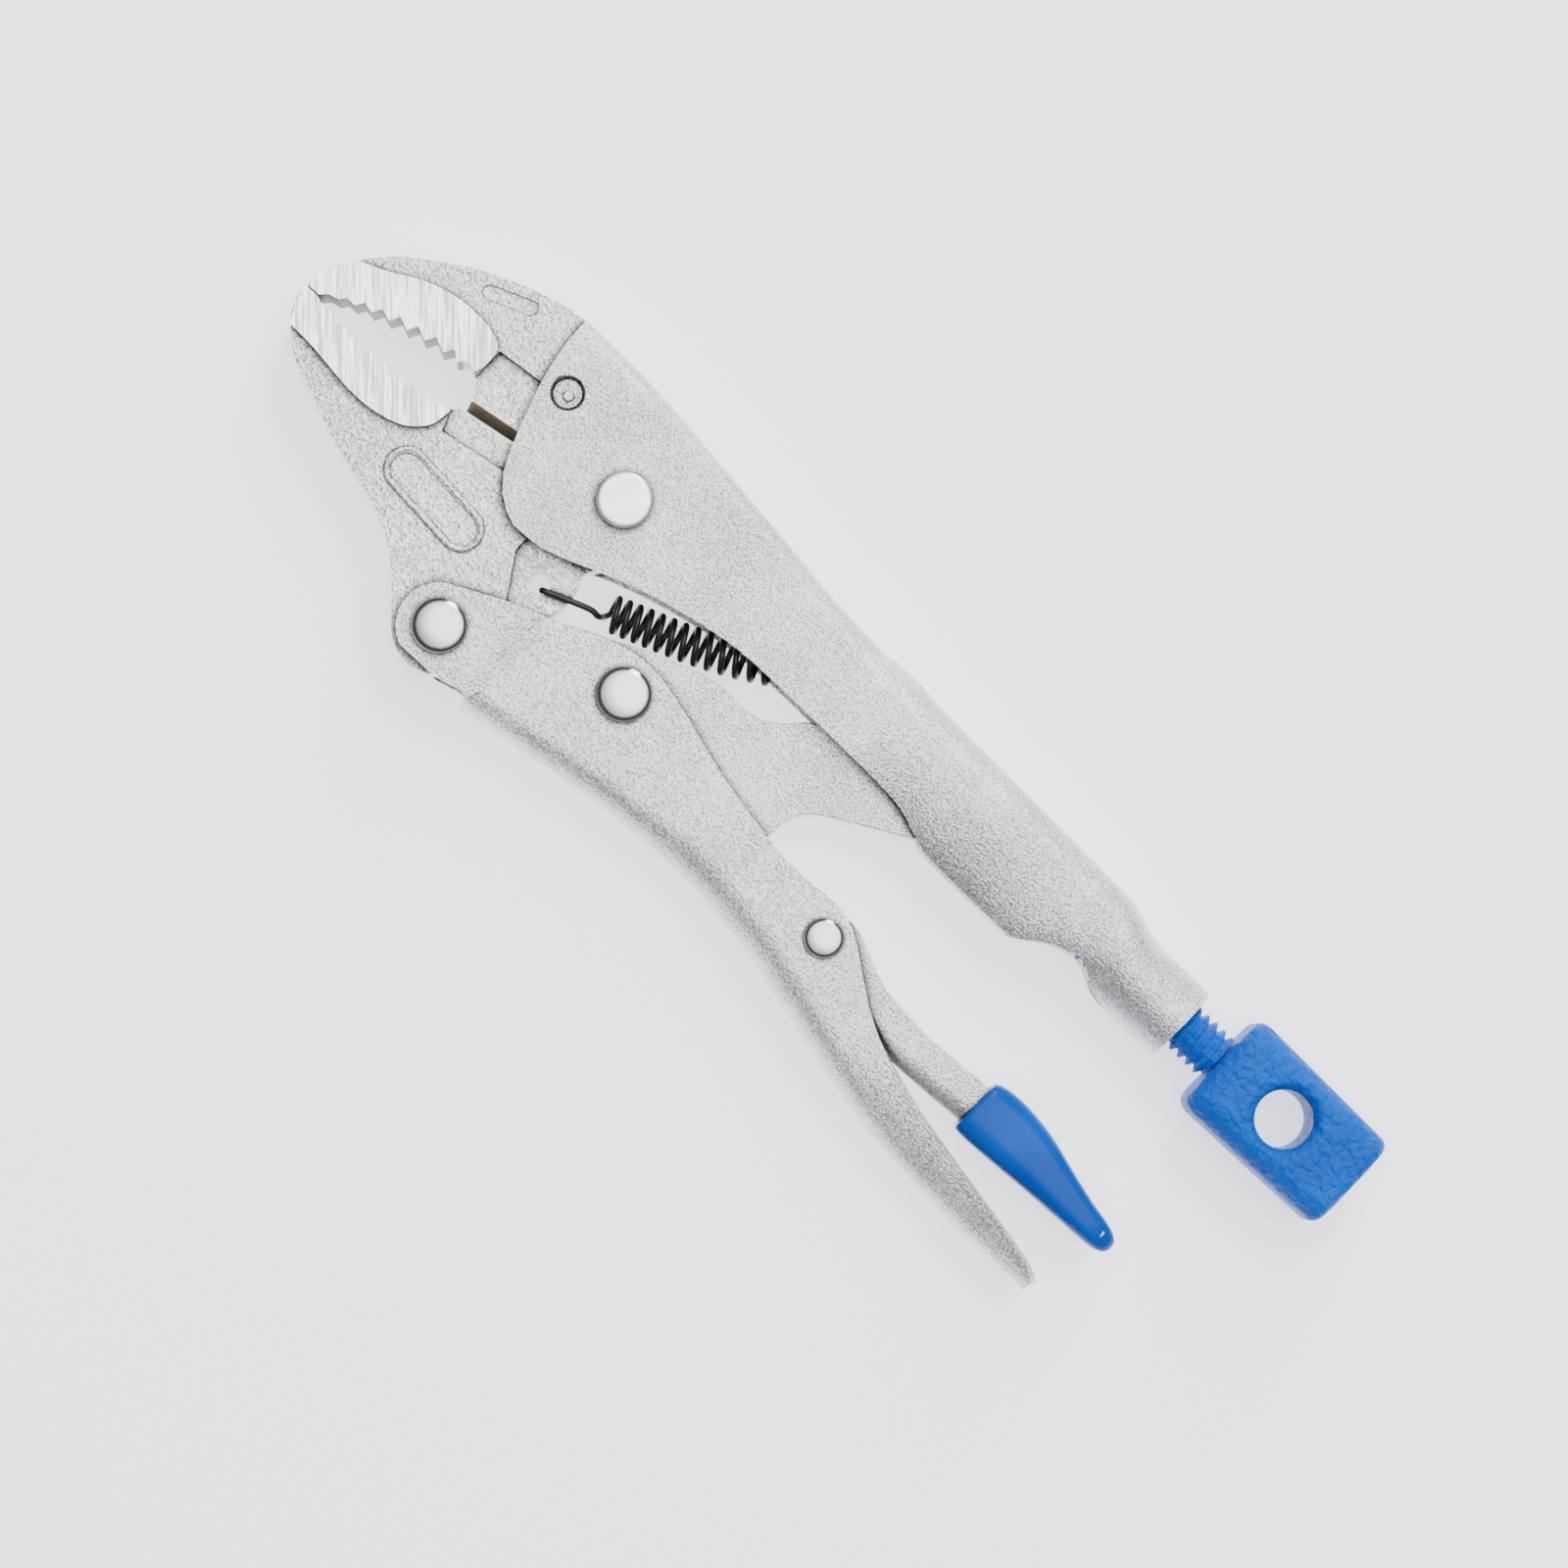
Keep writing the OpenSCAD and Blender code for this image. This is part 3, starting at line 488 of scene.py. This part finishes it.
def upper_handle():
    """The sheet from its front edge to its neck: sections along X, closer where the shape changes."""
    walls = [0, 0.02, 0.05, 0.1, 0.16, 0.24, 0.32, 0.4, 0.46, 0.51, 0.55, 0.58, 0.6]
    bends = [0.6 + 0.24 * k / 8 for k in range(1, 9)]
    backs = [0.88, 0.92, 0.95, 1.0]
    half = [t - 1 for t in walls + bends + backs]
    columns = half + [-s for s in half[-2::-1]]
    stations = sorted(set([0, 0.004, 0.012, 0.025, 0.045] + [0.07 + 0.93 * k / 96 for k in range(97)]
                          + [(x + 28) / 168 for x in (54.8, 55.4, 56, 128.6, 129.2, 129.9)]))
    rows = []
    for u in stations:
        row = []
        for s in columns:
            start = -28.0
            for _ in range(12):  # settles on the front edge, which depends on the height found there
                start = front_x(min(max(upper_section(start, s)[0], -17.0), 19.9))
            if abs(s) > 0.999:
                start = -11.5
            x = start + u * (NECK_END - start)
            y, z = upper_section(x, s)
            row.append((x, y, z))
        rows.append(row)
    obj = grid("upper_handle_sheet", rows, NICKEL, FIXED)
    solidify(obj, UPPER_SHEET)
    bevel(obj, 0.9, 4, 45)
    mouth, bore = 3.3, 2.85
    flare = [(bore, HALF - 0.75), (mouth, HALF - 0.25), (mouth, 12)]
    profile = [(r, -h) for r, h in flare[::-1]] + flare
    hole = lathe("stake_cutter", profile, (*P_STAKE, MID), NICKEL, FIXED, steps=48)
    cut(obj, hole)
    apply_all(obj)
    drop(hole)
    finish_normals(obj)
    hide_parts("upper_handle")
    return obj


upper_handle()

# The rear hook's tab, bent down inside the back
anchor = plate("spring_anchor_tab", curve([(57.2, 11.2), (57, 8), (57.2, 6.2), (58.4, 5), (60, 5.6), (61, 8),
                                           (61.5, 11.2)], 4), 3, NICKEL, FIXED, width=0.3)


# ---------------------------------------------------------------- lower handle
# Radius of the front ears, where the channel's belly begins and where the tail ends
EAR_R, CHANNEL_X, TAIL_X = 7.9, 4.3, 152.4
# Outlines seen from the side: the belly and the channel's rim
BELLY = curve([(0, -48.6), (8, -47.3), (16, -46), (24, -44.6), (32, -43.3), (40, -42.5), (50, -41.85),
               (58, -41.9), (66, -42.6), (74, -43.8), (82, -45.7), (90.1, -47.6), (98.6, -49.5),
               (107.1, -51.1), (115.6, -52.3), (124.1, -53), (132.6, -53.37), (142.5, -53.3),
               (TAIL_X, -53.37)])
RIM = curve([(0, -27), (6, -24.5), (10, -22.8), (14, -21), (18, -19.4), (22, -18.6), (26, -18.5),
             (30, -19.1), (36, -20.5), (43, -22.5), (50, -24.2), (58, -25.6), (66, -26.7), (72, -26.8),
             (77, -26.3), (81.5, -26.5), (85.8, -28.4), (90.1, -31.4), (95.1, -34.9), (100, -37.8),
             (106.4, -40.4), (114.9, -42.8), (124.1, -44.8), (134.7, -46.8), (143.9, -48.4),
             (149.6, -49.8), (TAIL_X, -51.6)])
EAR_HALF = half_depth("lower_handle")
CHANNEL_HALF = EAR_HALF - 1.0
EAR_TOP = curve([(-11.1, -32.48), (-8, -30.8), (-3, -28.3), (2, -26.2), (6, -24.5)])
EAR_LOW = curve([(-6.36, -47.53), (-2, -46.9), (2.4, -45.7), (CHANNEL_X, -45.9)])


def lower_half(x):
    """Half the lower handle's width: wide ears, a ramp, the channel, then a narrowing tail."""
    w = EAR_HALF + (CHANNEL_HALF - EAR_HALF) * smooth(x, 0.6, 6.9)
    return w - 1.6 * smooth(x, 132, 153)


def lower_wall(x):
    """Top and bottom of the near wall at x, before the bend."""
    dx = x - P_HANDLE[0]
    ring = math.sqrt(max(EAR_R ** 2 - dx * dx, 0.0))
    top = at(RIM, x) if x > 6 else (at(EAR_TOP, x) if x > -11.1 else P_HANDLE[1] + ring)
    if x > CHANNEL_X:
        low = at(BELLY, x) + bend_r(x)
    else:
        low = at(EAR_LOW, x) if x > -6.36 else P_HANDLE[1] - ring
    return top, low


def bend_r(x):
    """Outside radius of the lower handle's bend at x."""
    deep = at(RIM, x) - at(BELLY, x)
    r = 4.8 + 1.2 * smooth(x, 30, 60)
    return min(r, lower_half(x) - 0.4, 0.68 * deep)


def lower_handle():
    """Two ears without a belly, then a channel whose section turns into a scoop towards the tail."""
    walls = [0, 0.03, 0.08, 0.16, 0.28, 0.42, 0.56, 0.7, 0.82, 0.9, 0.96, 1.0]
    bend_n, belly_n = 8, 5
    ear = [P_HANDLE[0] - (EAR_R - 0.02) * math.cos(math.radians(a))
           for a in (4, 12, 20, 29, 38, 48, 58, 69)]
    stations = ear + [-4, -2.5, -1, 0.5, 2, 3.2, CHANNEL_X - 0.02, CHANNEL_X]
    stations += [5.4, 6.4, 7.4, 9] + [9 + (TAIL_X - 9) * k / 84 for k in range(1, 85)]
    split = stations.index(CHANNEL_X)
    rows = []
    for x in stations:
        top, low_y = lower_wall(x)
        w, r, belly = lower_half(x), bend_r(max(x, CHANNEL_X)), at(BELLY, max(x, CHANNEL_X))
        near = [(x, top + (low_y - top) * f, w) for f in walls]
        bend = [(x, belly + r - r * math.sin(a), w - r + r * math.cos(a))
                for a in [math.pi / 2 * k / bend_n for k in range(1, bend_n + 1)]]
        flat = [(x, belly, (w - r) * (1 - k / belly_n)) for k in range(1, belly_n + 1)]
        half = near + bend + flat
        trough = 0.85 * smooth(x, 90, 122)
        if trough > 0:
            deep, lean = top - belly, math.radians(24)
            for k, p in enumerate(half):
                a = lean + (math.pi / 2 - lean) * k / (len(half) - 1)
                y = belly + deep * (1 - math.sin(a)) / (1 - math.sin(lean))
                z = w * math.cos(a) / math.cos(lean)
                half[k] = (x, p[1] + (y - p[1]) * trough, p[2] + (z - p[2]) * trough)
        full = half + [(p[0], p[1], -p[2]) for p in half[-2::-1]]
        rows.append([(p[0], p[1], MID + p[2]) for p in full])
    last = len(rows[0]) - len(walls)
    obj = grid("lower_handle_sheet", rows, NICKEL, LOWER,
               skip=lambda i, j: i < split and len(walls) - 1 <= j < last)
    solidify(obj, LOWER_SHEET)
    bevel(obj, 0.4, 3, 45)
    finish_normals(obj)
    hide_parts("lower_handle")
    return obj


lower_handle()


# ---------------------------------------------------------------- release lever and its grip
LEVER_BELLY = curve([(52, -38.4), (60, -38.6), (70, -38.9), (80, -38.8), (90, -38.7), (98, -39.4),
                     (106, -39.8), (114, -39.6), (124, -39), (136, -38.6), (148, -38), (156, -37.5)])
LEVER_RIM = curve([(52, -34.6), (60, -34.4), (68, -33.5), (74, -31), (79, -27.6), (83, -26.6),
                   (87, -27.4), (92, -29.6), (96, -31), (101, -31.7), (110, -31.9), (124, -31),
                   (136, -31.6), (148, -34), (156, -35.6)])


def release_lever():
    rows = []
    front, rear, steps = 52, 156, 80
    for k in range(steps + 1):
        x = front + (rear - front) * k / steps
        top, belly = at(LEVER_RIM, x), at(LEVER_BELLY, x)
        w = half_depth("release_lever") - 0.8 * (1 - smooth(x, 50, 56))
        r = min(3.3, 0.66 * (top - belly), w - 0.4)
        near = [(x, top + (belly + r - top) * f, w) for f in (0, 0.08, 0.3, 0.6, 0.9, 1)]
        bend = [(x, belly + r - r * math.sin(a), w - r + r * math.cos(a))
                for a in [math.pi / 2 * j / 7 for j in range(1, 8)]]
        flat = [(x, belly, (w - r) * (1 - j / 2)) for j in (1, 2)]
        half = near + bend + flat
        full = half + [(p[0], p[1], -p[2]) for p in half[-2::-1]]
        rows.append([(p[0], p[1], MID + p[2]) for p in full])
    obj = grid("release_lever_sheet", rows, NICKEL, "release_lever_body")
    solidify(obj, LEVER_SHEET)
    bevel(obj, 0.3, 3, 45)
    finish_normals(obj)
    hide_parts("release_lever")
    return obj


release_lever()


def lever_grip():
    """A closed dip with a rolled mouth: rounded sections, each with its height and half width."""
    tip, sides, power = 159.1, 48, 0.66
    top = curve([(122.8, -29.7), (123.4, -29.2), (126, -28.5), (131, -28.4), (137, -29.2), (144, -31.1),
                 (151, -32.9), (155, -33.6), (157.5, -34.4), (158.8, -35.4), (tip, -36.4)])
    low = curve([(122.8, -40.3), (123.4, -40.7), (126, -40.85), (131, -40.6), (137, -40.2), (144, -39.8),
                 (151, -39.5), (155, -39.3), (157.5, -38.8), (158.8, -37.8), (tip, -36.6)])
    wide = [(122.8, 5.1), (123.4, 5.45), (126, 5.5), (140, 5.5), (148, 5.3), (153, 4.8), (156, 4),
            (158, 2.8), (158.9, 1.4), (tip, 0.3)]
    stations = [(123.6, 1.6), (123.0, 1.2), (122.8, 0.6), (122.8, 0.25)]
    stations += [(x, 0.0) for x in (123.0, 123.4, 124, 125, 126.5, 128.5, 131, 134, 137, 140, 143, 146, 149,
                                    151.5, 153.5, 155, 156.3, 157.3, 158, 158.5, 158.8, 159, tip)]
    rows = []
    for x, inset in stations:
        t, b, w = at(top, x) - inset, at(low, x) + inset, at(wide, x) - inset
        row = []
        for k in range(sides):
            a = 2 * math.pi * k / sides
            c, s = math.cos(a), math.sin(a)
            row.append((x, (t + b) / 2 + (t - b) / 2 * math.copysign(abs(s) ** power, s),
                        MID + w * math.copysign(abs(c) ** power, c)))
        row.append(row[0])
        rows.append(row)
    rows.insert(0, [(127.0, p[1], p[2]) for p in rows[0]])
    end = (at(top, tip) + at(low, tip)) / 2
    rows.append([(tip, end, MID)] * len(rows[0]))
    obj = grid("lever_grip_dip", rows, GRIP, "release_lever_body")
    sub = obj.modifiers.new("smooth", "SUBSURF")
    sub.levels = sub.render_levels = 1
    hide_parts("lever_grip")
    return obj


lever_grip()


# ---------------------------------------------------------------- jaws
# Half thicknesses of the toothed pads, of the jaws behind them and of the spring's tab
PAD_HALF = half_depth("lower_jaw")
JAW_HALF = PAD_HALF - 1.3
TAB_HALF = JAW_HALF - 1.5


def cad_part(node, name, material, width):
    """A refined copy of a CAD node: welded, its flat faces joined, its edges rounded."""
    source = frame["nodes"][node]
    mesh = source.data.copy()
    obj = bpy.data.objects.new(name, mesh)
    bpy.context.scene.collection.objects.link(obj)
    mesh.materials.clear()
    mesh.materials.append(material)
    bm = bmesh.new()
    bm.from_mesh(mesh)
    bmesh.ops.remove_doubles(bm, verts=bm.verts, dist=0.00001)
    bmesh.ops.dissolve_limit(bm, angle_limit=math.radians(1.5), verts=bm.verts, edges=bm.edges)
    bmesh.ops.recalc_face_normals(bm, faces=bm.faces)
    bm.to_mesh(mesh)
    bm.free()
    for p in mesh.polygons:
        p.use_smooth = True
    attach(obj, source["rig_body"])
    bevel(obj, width, 3, 30)
    finish_normals(obj)
    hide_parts(node)
    return obj


def add_ground_faces(obj, inside, material):
    """Gives another material to the faces that inside(centre, normal) picks, in millimetres."""
    obj.data.materials.append(material)
    index = len(obj.data.materials) - 1
    for p in obj.data.polygons:
        c = [v / MM for v in p.center]
        if inside(c, p.normal):
            p.material_index = index


def on_pad(c, n):
    """The flat faces of the toothed pads."""
    return abs(abs(c[2] - MID) - PAD_HALF) < 0.05


def in_mouth(c, n):
    """The walls of the teeth, which face the other jaw; they get the dark steel of painted shade."""
    return abs(n[2]) < 0.5 and c[0] < -34.2 and -16.5 < c[1] < -2.2 and c[0] > -68.6


def on_cutter(c, n):
    """The sloping wire-cutter faces next to the teeth."""
    return abs(n[2]) < 0.8 and -34.2 <= c[0] < -20 and -10.5 < c[1] < -3.4 and abs(n[1]) > 0.5


for node in ("upper_jaw", "lower_jaw"):
    jaw = cad_part(node, node + "_forging", JAW, width=0.45)
    add_ground_faces(jaw, on_pad, GROUND)
    add_ground_faces(jaw, in_mouth, SHADED_TOOTH)
    add_ground_faces(jaw, on_cutter, BARE)


def oval_ring(name, centre, length, width, angle, wide, high, face, body):
    """A low rounded border in the form of a slot, standing on a face of the jaw."""
    r, straight = width / 2, length / 2 - width / 2
    turn = math.radians(angle)
    line = [(end * straight + r * math.cos(math.radians(a)), r * math.sin(math.radians(a)))
            for end, first in ((1, -90), (-1, 90)) for a in range(first, first + 181, 12)]
    rows = []
    for k in range(9):
        b = math.pi * k / 8
        off, rise = wide / 2 * math.cos(b), high * math.sin(b)
        row = []
        for u, v in line:
            n = Vector((u - math.copysign(straight, u), v)).normalized()
            p = Vector((u, v)) + n * off
            row.append((centre[0] + p.x * math.cos(turn) - p.y * math.sin(turn),
                        centre[1] + p.x * math.sin(turn) + p.y * math.cos(turn),
                        MID + math.copysign(abs(face) + rise - (0.05 if rise < 0.01 else 0), face)))
        rows.append(row + [row[0]])
    obj = grid(name, rows, JAW, body)
    return obj


for tag, side in (("near", 1), ("far", -1)):
    oval_ring("lower_jaw_border_" + tag, (-25.3, -23.8), length=22.2, width=7.4, angle=-4, wide=1.3,
              high=0.6, face=side * JAW_HALF, body=MOVING)

cad_part("toggle_link", "toggle_link_plate", NICKEL, width=0.5)
cad_part("jaw_stake_pin", "jaw_stake_pin_staked", JAW, width=0.25)


# ---------------------------------------------------------------- rivets
def rivet(name, node, p, half_span, head_r, shank_r, height, crown, body, material=RIVET):
    """A rivet with a head at each end: domed over crown, on a short straight rim."""
    rim = height - crown
    head = [(shank_r, half_span), (head_r - 0.25, half_span), (head_r, half_span + 0.25),
            (head_r, half_span + max(rim - 0.2, 0.3))]
    big = (head_r ** 2 + crown ** 2) / (2 * crown)
    steps = 10
    for k in range(1, steps + 1):
        r = (head_r - 0.12) * (1 - k / steps)
        head.append((r, half_span + height - big + math.sqrt(big ** 2 - r * r)))
    low_head = [(r, -h) for r, h in head]
    obj = lathe(name, low_head[::-1] + head, (*p, MID), material, body, steps=64)
    bevel(obj, 0.15, 2, 40)
    finish_normals(obj)
    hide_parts(node)
    return obj


rivet("main_rivet_head", "main_rivet", P_MAIN, HALF, head_r=5.15, shank_r=3.2, height=HEAD_T,
      crown=0.12, body=FIXED, material=FLAT_RIVET)
rivet("handle_rivet_head", "handle_rivet", P_HANDLE, EAR_HALF, head_r=5.1, shank_r=3.2, height=HEAD_T,
      crown=0.8, body=LOWER)
rivet("link_rivet_head", "link_rivet", P_LINK, CHANNEL_HALF, head_r=5.1, shank_r=3.0, height=HEAD_T,
      crown=0.8, body=LOWER)
rivet("lever_rivet_head", "lever_rivet", P_LEVER, CHANNEL_HALF, head_r=3.7, shank_r=2.2, height=1.5,
      crown=0.6, body=LOWER)


# ---------------------------------------------------------------- adjusting screw
SHANK_TIP, SHANK_END = 94.8, 149.35


def threaded_shank():
    """The shank with its 2 mm thread, from the tip to the head."""
    pitch, outer, depth = 2.0, 4.8, 1.05
    start, end, steps = SHANK_TIP, SHANK_END, 40
    turns = (end - start) / pitch
    profile = [(0.0, 0.0), (0.1, 0.0), (0.42, depth), (0.58, depth), (0.9, 0.0)]
    verts, faces = [], []
    n = len(profile)
    rings = int(turns * steps) + 1
    for i in range(rings + steps):
        a = 2 * math.pi * i / steps
        for f, d in profile:
            x = start + (i / steps - 1 + f) * pitch
            r = outer - d
            clamped = min(max(x, start), end)
            if x < start or x > end:
                r = outer - depth
            lead = smooth(x, start - 0.2, start + 1.6)
            r = outer - depth + (r - outer + depth) * lead
            verts.append((clamped, SCREW_Y + r * math.cos(a), MID + r * math.sin(a)))
    for i in range(rings + steps - 1):
        for k in range(n - 1):
            a = i * n + k
            faces.append([a, a + n, a + n + 1, a + 1])
        a = i * n + n - 1
        b = (i + steps) * n
        if i + steps + 1 < rings + steps:
            faces.append([a, a + n, b + n, b])
    obj = new_object("adjusting_screw_thread", verts, faces, BLUE, "screw_shank_body")
    inner = [(0.0, start), (2.9, start), (3.7, start + 0.8), (3.74, end), (0.0, end + 0.01)]
    core = lathe("adjusting_screw_core", inner, (0, SCREW_Y, MID), BLUE, "screw_shank_body", "X", 48)
    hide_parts("adjusting_screw")
    return obj


threaded_shank()


def screw_head():
    """A tapering block with rounded long edges, a bowed rear face and a flared cross hole."""
    x0, length, half_t, rim_x = 149.6, 33.6, 8.5, 33.05
    stations = [(0, 2.1), (0.25, 1.35), (0.8, 0.65), (1.6, 0.2), (2.6, 0)]
    stations += [(4 + 27.4 * j / 12, 0) for j in range(13)] + [(32, 0.15), (32.7, 0.7), (rim_x, 1.5)]
    rows = []
    for along, shrink in stations:
        x = x0 + along
        f = (x - x0) / length
        w = 10.8 - 0.7 * f - shrink
        t = half_t - shrink
        r = max(4.4 - shrink, 2.2)
        ring = []
        for corner, (sy, sz) in enumerate([(1, 1), (-1, 1), (-1, -1), (1, -1)]):
            for j in range(9):
                a = math.radians(90 * j / 8 + 90 * corner)
                ring.append((x, SCREW_Y + sy * (w - r) + r * math.cos(a),
                             MID + sz * (t - r) + r * math.sin(a)))
        ring.append(ring[0])
        rows.append(ring)
    n = len(rows[0]) - 1
    verts = [p for r in rows for p in r[:n]]
    faces = [[i * n + j, (i + 1) * n + j, (i + 1) * n + (j + 1) % n, i * n + (j + 1) % n]
             for i in range(len(rows) - 1) for j in range(n)]
    front = len(verts)
    verts.append((x0, SCREW_Y, MID))
    faces += [[front, (j + 1) % n, j] for j in range(n)]
    base = (len(rows) - 1) * n
    prev = [base + j for j in range(n)]
    for f, bow in ((0.66, 0.38), (0.33, 0.5)):
        ring = []
        for j in range(n):
            p = verts[base + j]
            ring.append(len(verts))
            verts.append((x0 + rim_x + bow, SCREW_Y + (p[1] - SCREW_Y) * f, MID + (p[2] - MID) * f))
        faces += [[prev[j], ring[j], ring[(j + 1) % n], prev[(j + 1) % n]] for j in range(n)]
        prev = ring
    verts.append((x0 + length, SCREW_Y, MID))
    faces += [[prev[j], len(verts) - 1, prev[(j + 1) % n]] for j in range(n)]
    obj = new_object("screw_head_block", verts, faces, BLUE, "screw_head_body")
    flare = [(8.3, half_t + 2)] + [(5.4 + 2.6 * (1 - math.sin(a)), half_t + 0.02 - 2.2 * (1 - math.cos(a)))
                                   for a in [math.pi / 2 * j / 8 for j in range(9)]]
    profile = flare + [(r, -h) for r, h in flare[::-1]]
    hole = lathe("head_cutter", profile, (165.2, SCREW_Y, MID), BLUE, "screw_head_body", steps=72)
    cut(obj, hole)
    apply_all(obj)
    drop(hole)
    bevel(obj, 0.25, 2, 30)
    finish_normals(obj)
    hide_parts("screw_head")
    return obj


screw_head()


# ---------------------------------------------------------------- return spring
def return_spring():
    """One wire: the front hook, 16.5 coils that open out towards the rear, and the rear hook."""
    wire, coil_r, turns, reach = 0.6, 3.1, 16.5, 0.5
    axis = curve([(12.2, -16.1), (19, -13.4), (27, -10.1), (34.5, -6.4), (42, -1.9), (49.5, 1.8)], 40)
    dist = [0.0]
    for a, b in zip(axis, axis[1:]):
        dist.append(dist[-1] + math.dist(a, b))
    total = dist[-1]

    def on_axis(s):
        """The point of the coils' axis at distance s from its front end."""
        return Vector([float(np.interp(s, dist, [p[i] for p in axis])) for i in (0, 1)] + [0.0])

    path = []
    steps = int(turns * 28)
    for i in range(steps + 1):
        f = i / steps
        s = total * (0.8 * f + 0.2 * f * f)
        d = (on_axis(min(s + reach, total)) - on_axis(max(s - reach, 0))).normalized()
        side = Vector((-d.y, d.x, 0))
        a = 2 * math.pi * turns * f - math.pi / 2
        middle = on_axis(s) + Vector((0, 0, MID))
        path.append(tuple(middle + coil_r * (math.cos(a) * side + math.sin(a) * Vector((0, 0, 1)))))
    first, last = path[0], path[-1]
    hook_z = MID + TAB_HALF + 0.7
    lead = curve([(0.4, -22, MID + 1.2), (0.4, -22, hook_z - 0.9), (0.8, -21.9, hook_z - 0.1),
                  (2.2, -21.3, hook_z), (6, -19.7, hook_z), (9.4, -18.4, hook_z - 0.6),
                  (11.0, -18.3, MID + 2.6), (11.6, -17.6, MID - 0.6), first], 6)
    tail = curve([last, (50.6, 3.4, MID - 1.6), (51.8, 4, MID + 0.8), (54, 5.0, MID + 2.4),
                  (57.2, 6.6, MID + 2.9), (58.4, 7.1, MID + 2.6), (58.8, 7.2, MID + 1.6),
                  (58.8, 7.2, MID - 2.2)], 6)
    obj = tube("return_spring_wire", lead[:-1] + path + tail[1:], wire, SPRING, FIXED, sides=12)
    obj.parent = None  # a piece that spans two bodies rides on neither
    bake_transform(obj)
    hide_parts("return_spring")
    return obj


return_spring()


# ---------------------------------------------------------------- floor, light, camera, in metres
def plane(name, width, centre, z, material):
    """A square of the stage, in metres."""
    h = width / 2
    mesh = bpy.data.meshes.new(name)
    corners = [(centre[0] + sx * h, centre[1] + sy * h, z) for sx, sy in ((-1, -1), (1, -1), (1, 1), (-1, 1))]
    mesh.from_pydata(corners, [], [(0, 1, 2, 3)])
    obj = bpy.data.objects.new(name, mesh)
    mesh.materials.append(material)
    bpy.context.scene.collection.objects.link(obj)
    return obj


plane("floor", width=6.0, centre=(0.05, -0.02), z=-0.0002, material=floor_material("paper"))

# A soft tent: brightest overhead, darkest halfway down and a little lighter at the horizon
world = bpy.data.worlds.new("studio")
bpy.context.scene.world = world
world.use_nodes = True
sky, wire_up = world.node_tree.nodes, world.node_tree.links
direction = sky.new("ShaderNodeTexCoord")
tilt = sky.new("ShaderNodeVectorMath")
tilt.operation = "DOT_PRODUCT"
tilt.inputs[1].default_value = (0.03, 0.22, 1.0)
tent = sky.new("ShaderNodeValToRGB")
wire_up.new(direction.outputs["Generated"], tilt.inputs[0])
wire_up.new(tilt.outputs["Value"], tent.inputs[0])
wire_up.new(tent.outputs[0], sky["Background"].inputs[0])
sky["Background"].inputs[1].default_value = 4.8
stops = [(0.0, 0.1), (0.25, 0.05), (0.45, 0.015), (0.64, 0.02), (0.76, 0.08), (0.866, 0.38), (0.95, 0.9),
         (1.0, 1.0)]
for k, (place, value) in enumerate(stops):
    if k < 2:
        stop = tent.color_ramp.elements[k]
        stop.position = place
    else:
        stop = tent.color_ramp.elements.new(place)
    stop.color = (value, value, value, 1)

# What the camera looks at, and the directions of the picture's up and right on the floor
TARGET = Vector((0.0569, -0.0167, MID * MM))
IMAGE_UP = Vector((-0.692, 0.722, 0)).normalized()
IMAGE_RIGHT = Vector((0.722, 0.692, 0)).normalized()


def area_light(name, right, up, height, width, power, long):
    """A rectangular lamp at that place in the picture's directions, turned to the target."""
    data = bpy.data.lights.new(name, "AREA")
    data.shape = "RECTANGLE"
    data.size = width
    data.size_y = long
    data.energy = power
    obj = bpy.data.objects.new(name, data)
    bpy.context.scene.collection.objects.link(obj)
    obj.location = TARGET + IMAGE_RIGHT * right + IMAGE_UP * up + Vector((0, 0, height))
    obj.rotation_euler = (TARGET - obj.location).to_track_quat("-Z", "Y").to_euler()
    return obj


area_light("key", right=0.35, up=0.75, height=0.55, width=0.3, power=7.0, long=0.7)

camera_data = bpy.data.cameras.new("camera")
camera_data.lens = 125
camera_data.sensor_width = 36
camera_data.clip_end = 20
camera = bpy.data.objects.new("camera", camera_data)
bpy.context.scene.collection.objects.link(camera)
tilt_back = math.radians(3.5)
camera.location = TARGET + Vector((0, -math.sin(tilt_back), math.cos(tilt_back)))
forward = (TARGET - camera.location).normalized()
up = (IMAGE_UP - forward * IMAGE_UP.dot(forward)).normalized()
right = forward.cross(up)
camera.rotation_euler = Matrix((right, up, -forward)).transposed().to_euler()
bpy.context.scene.camera = camera
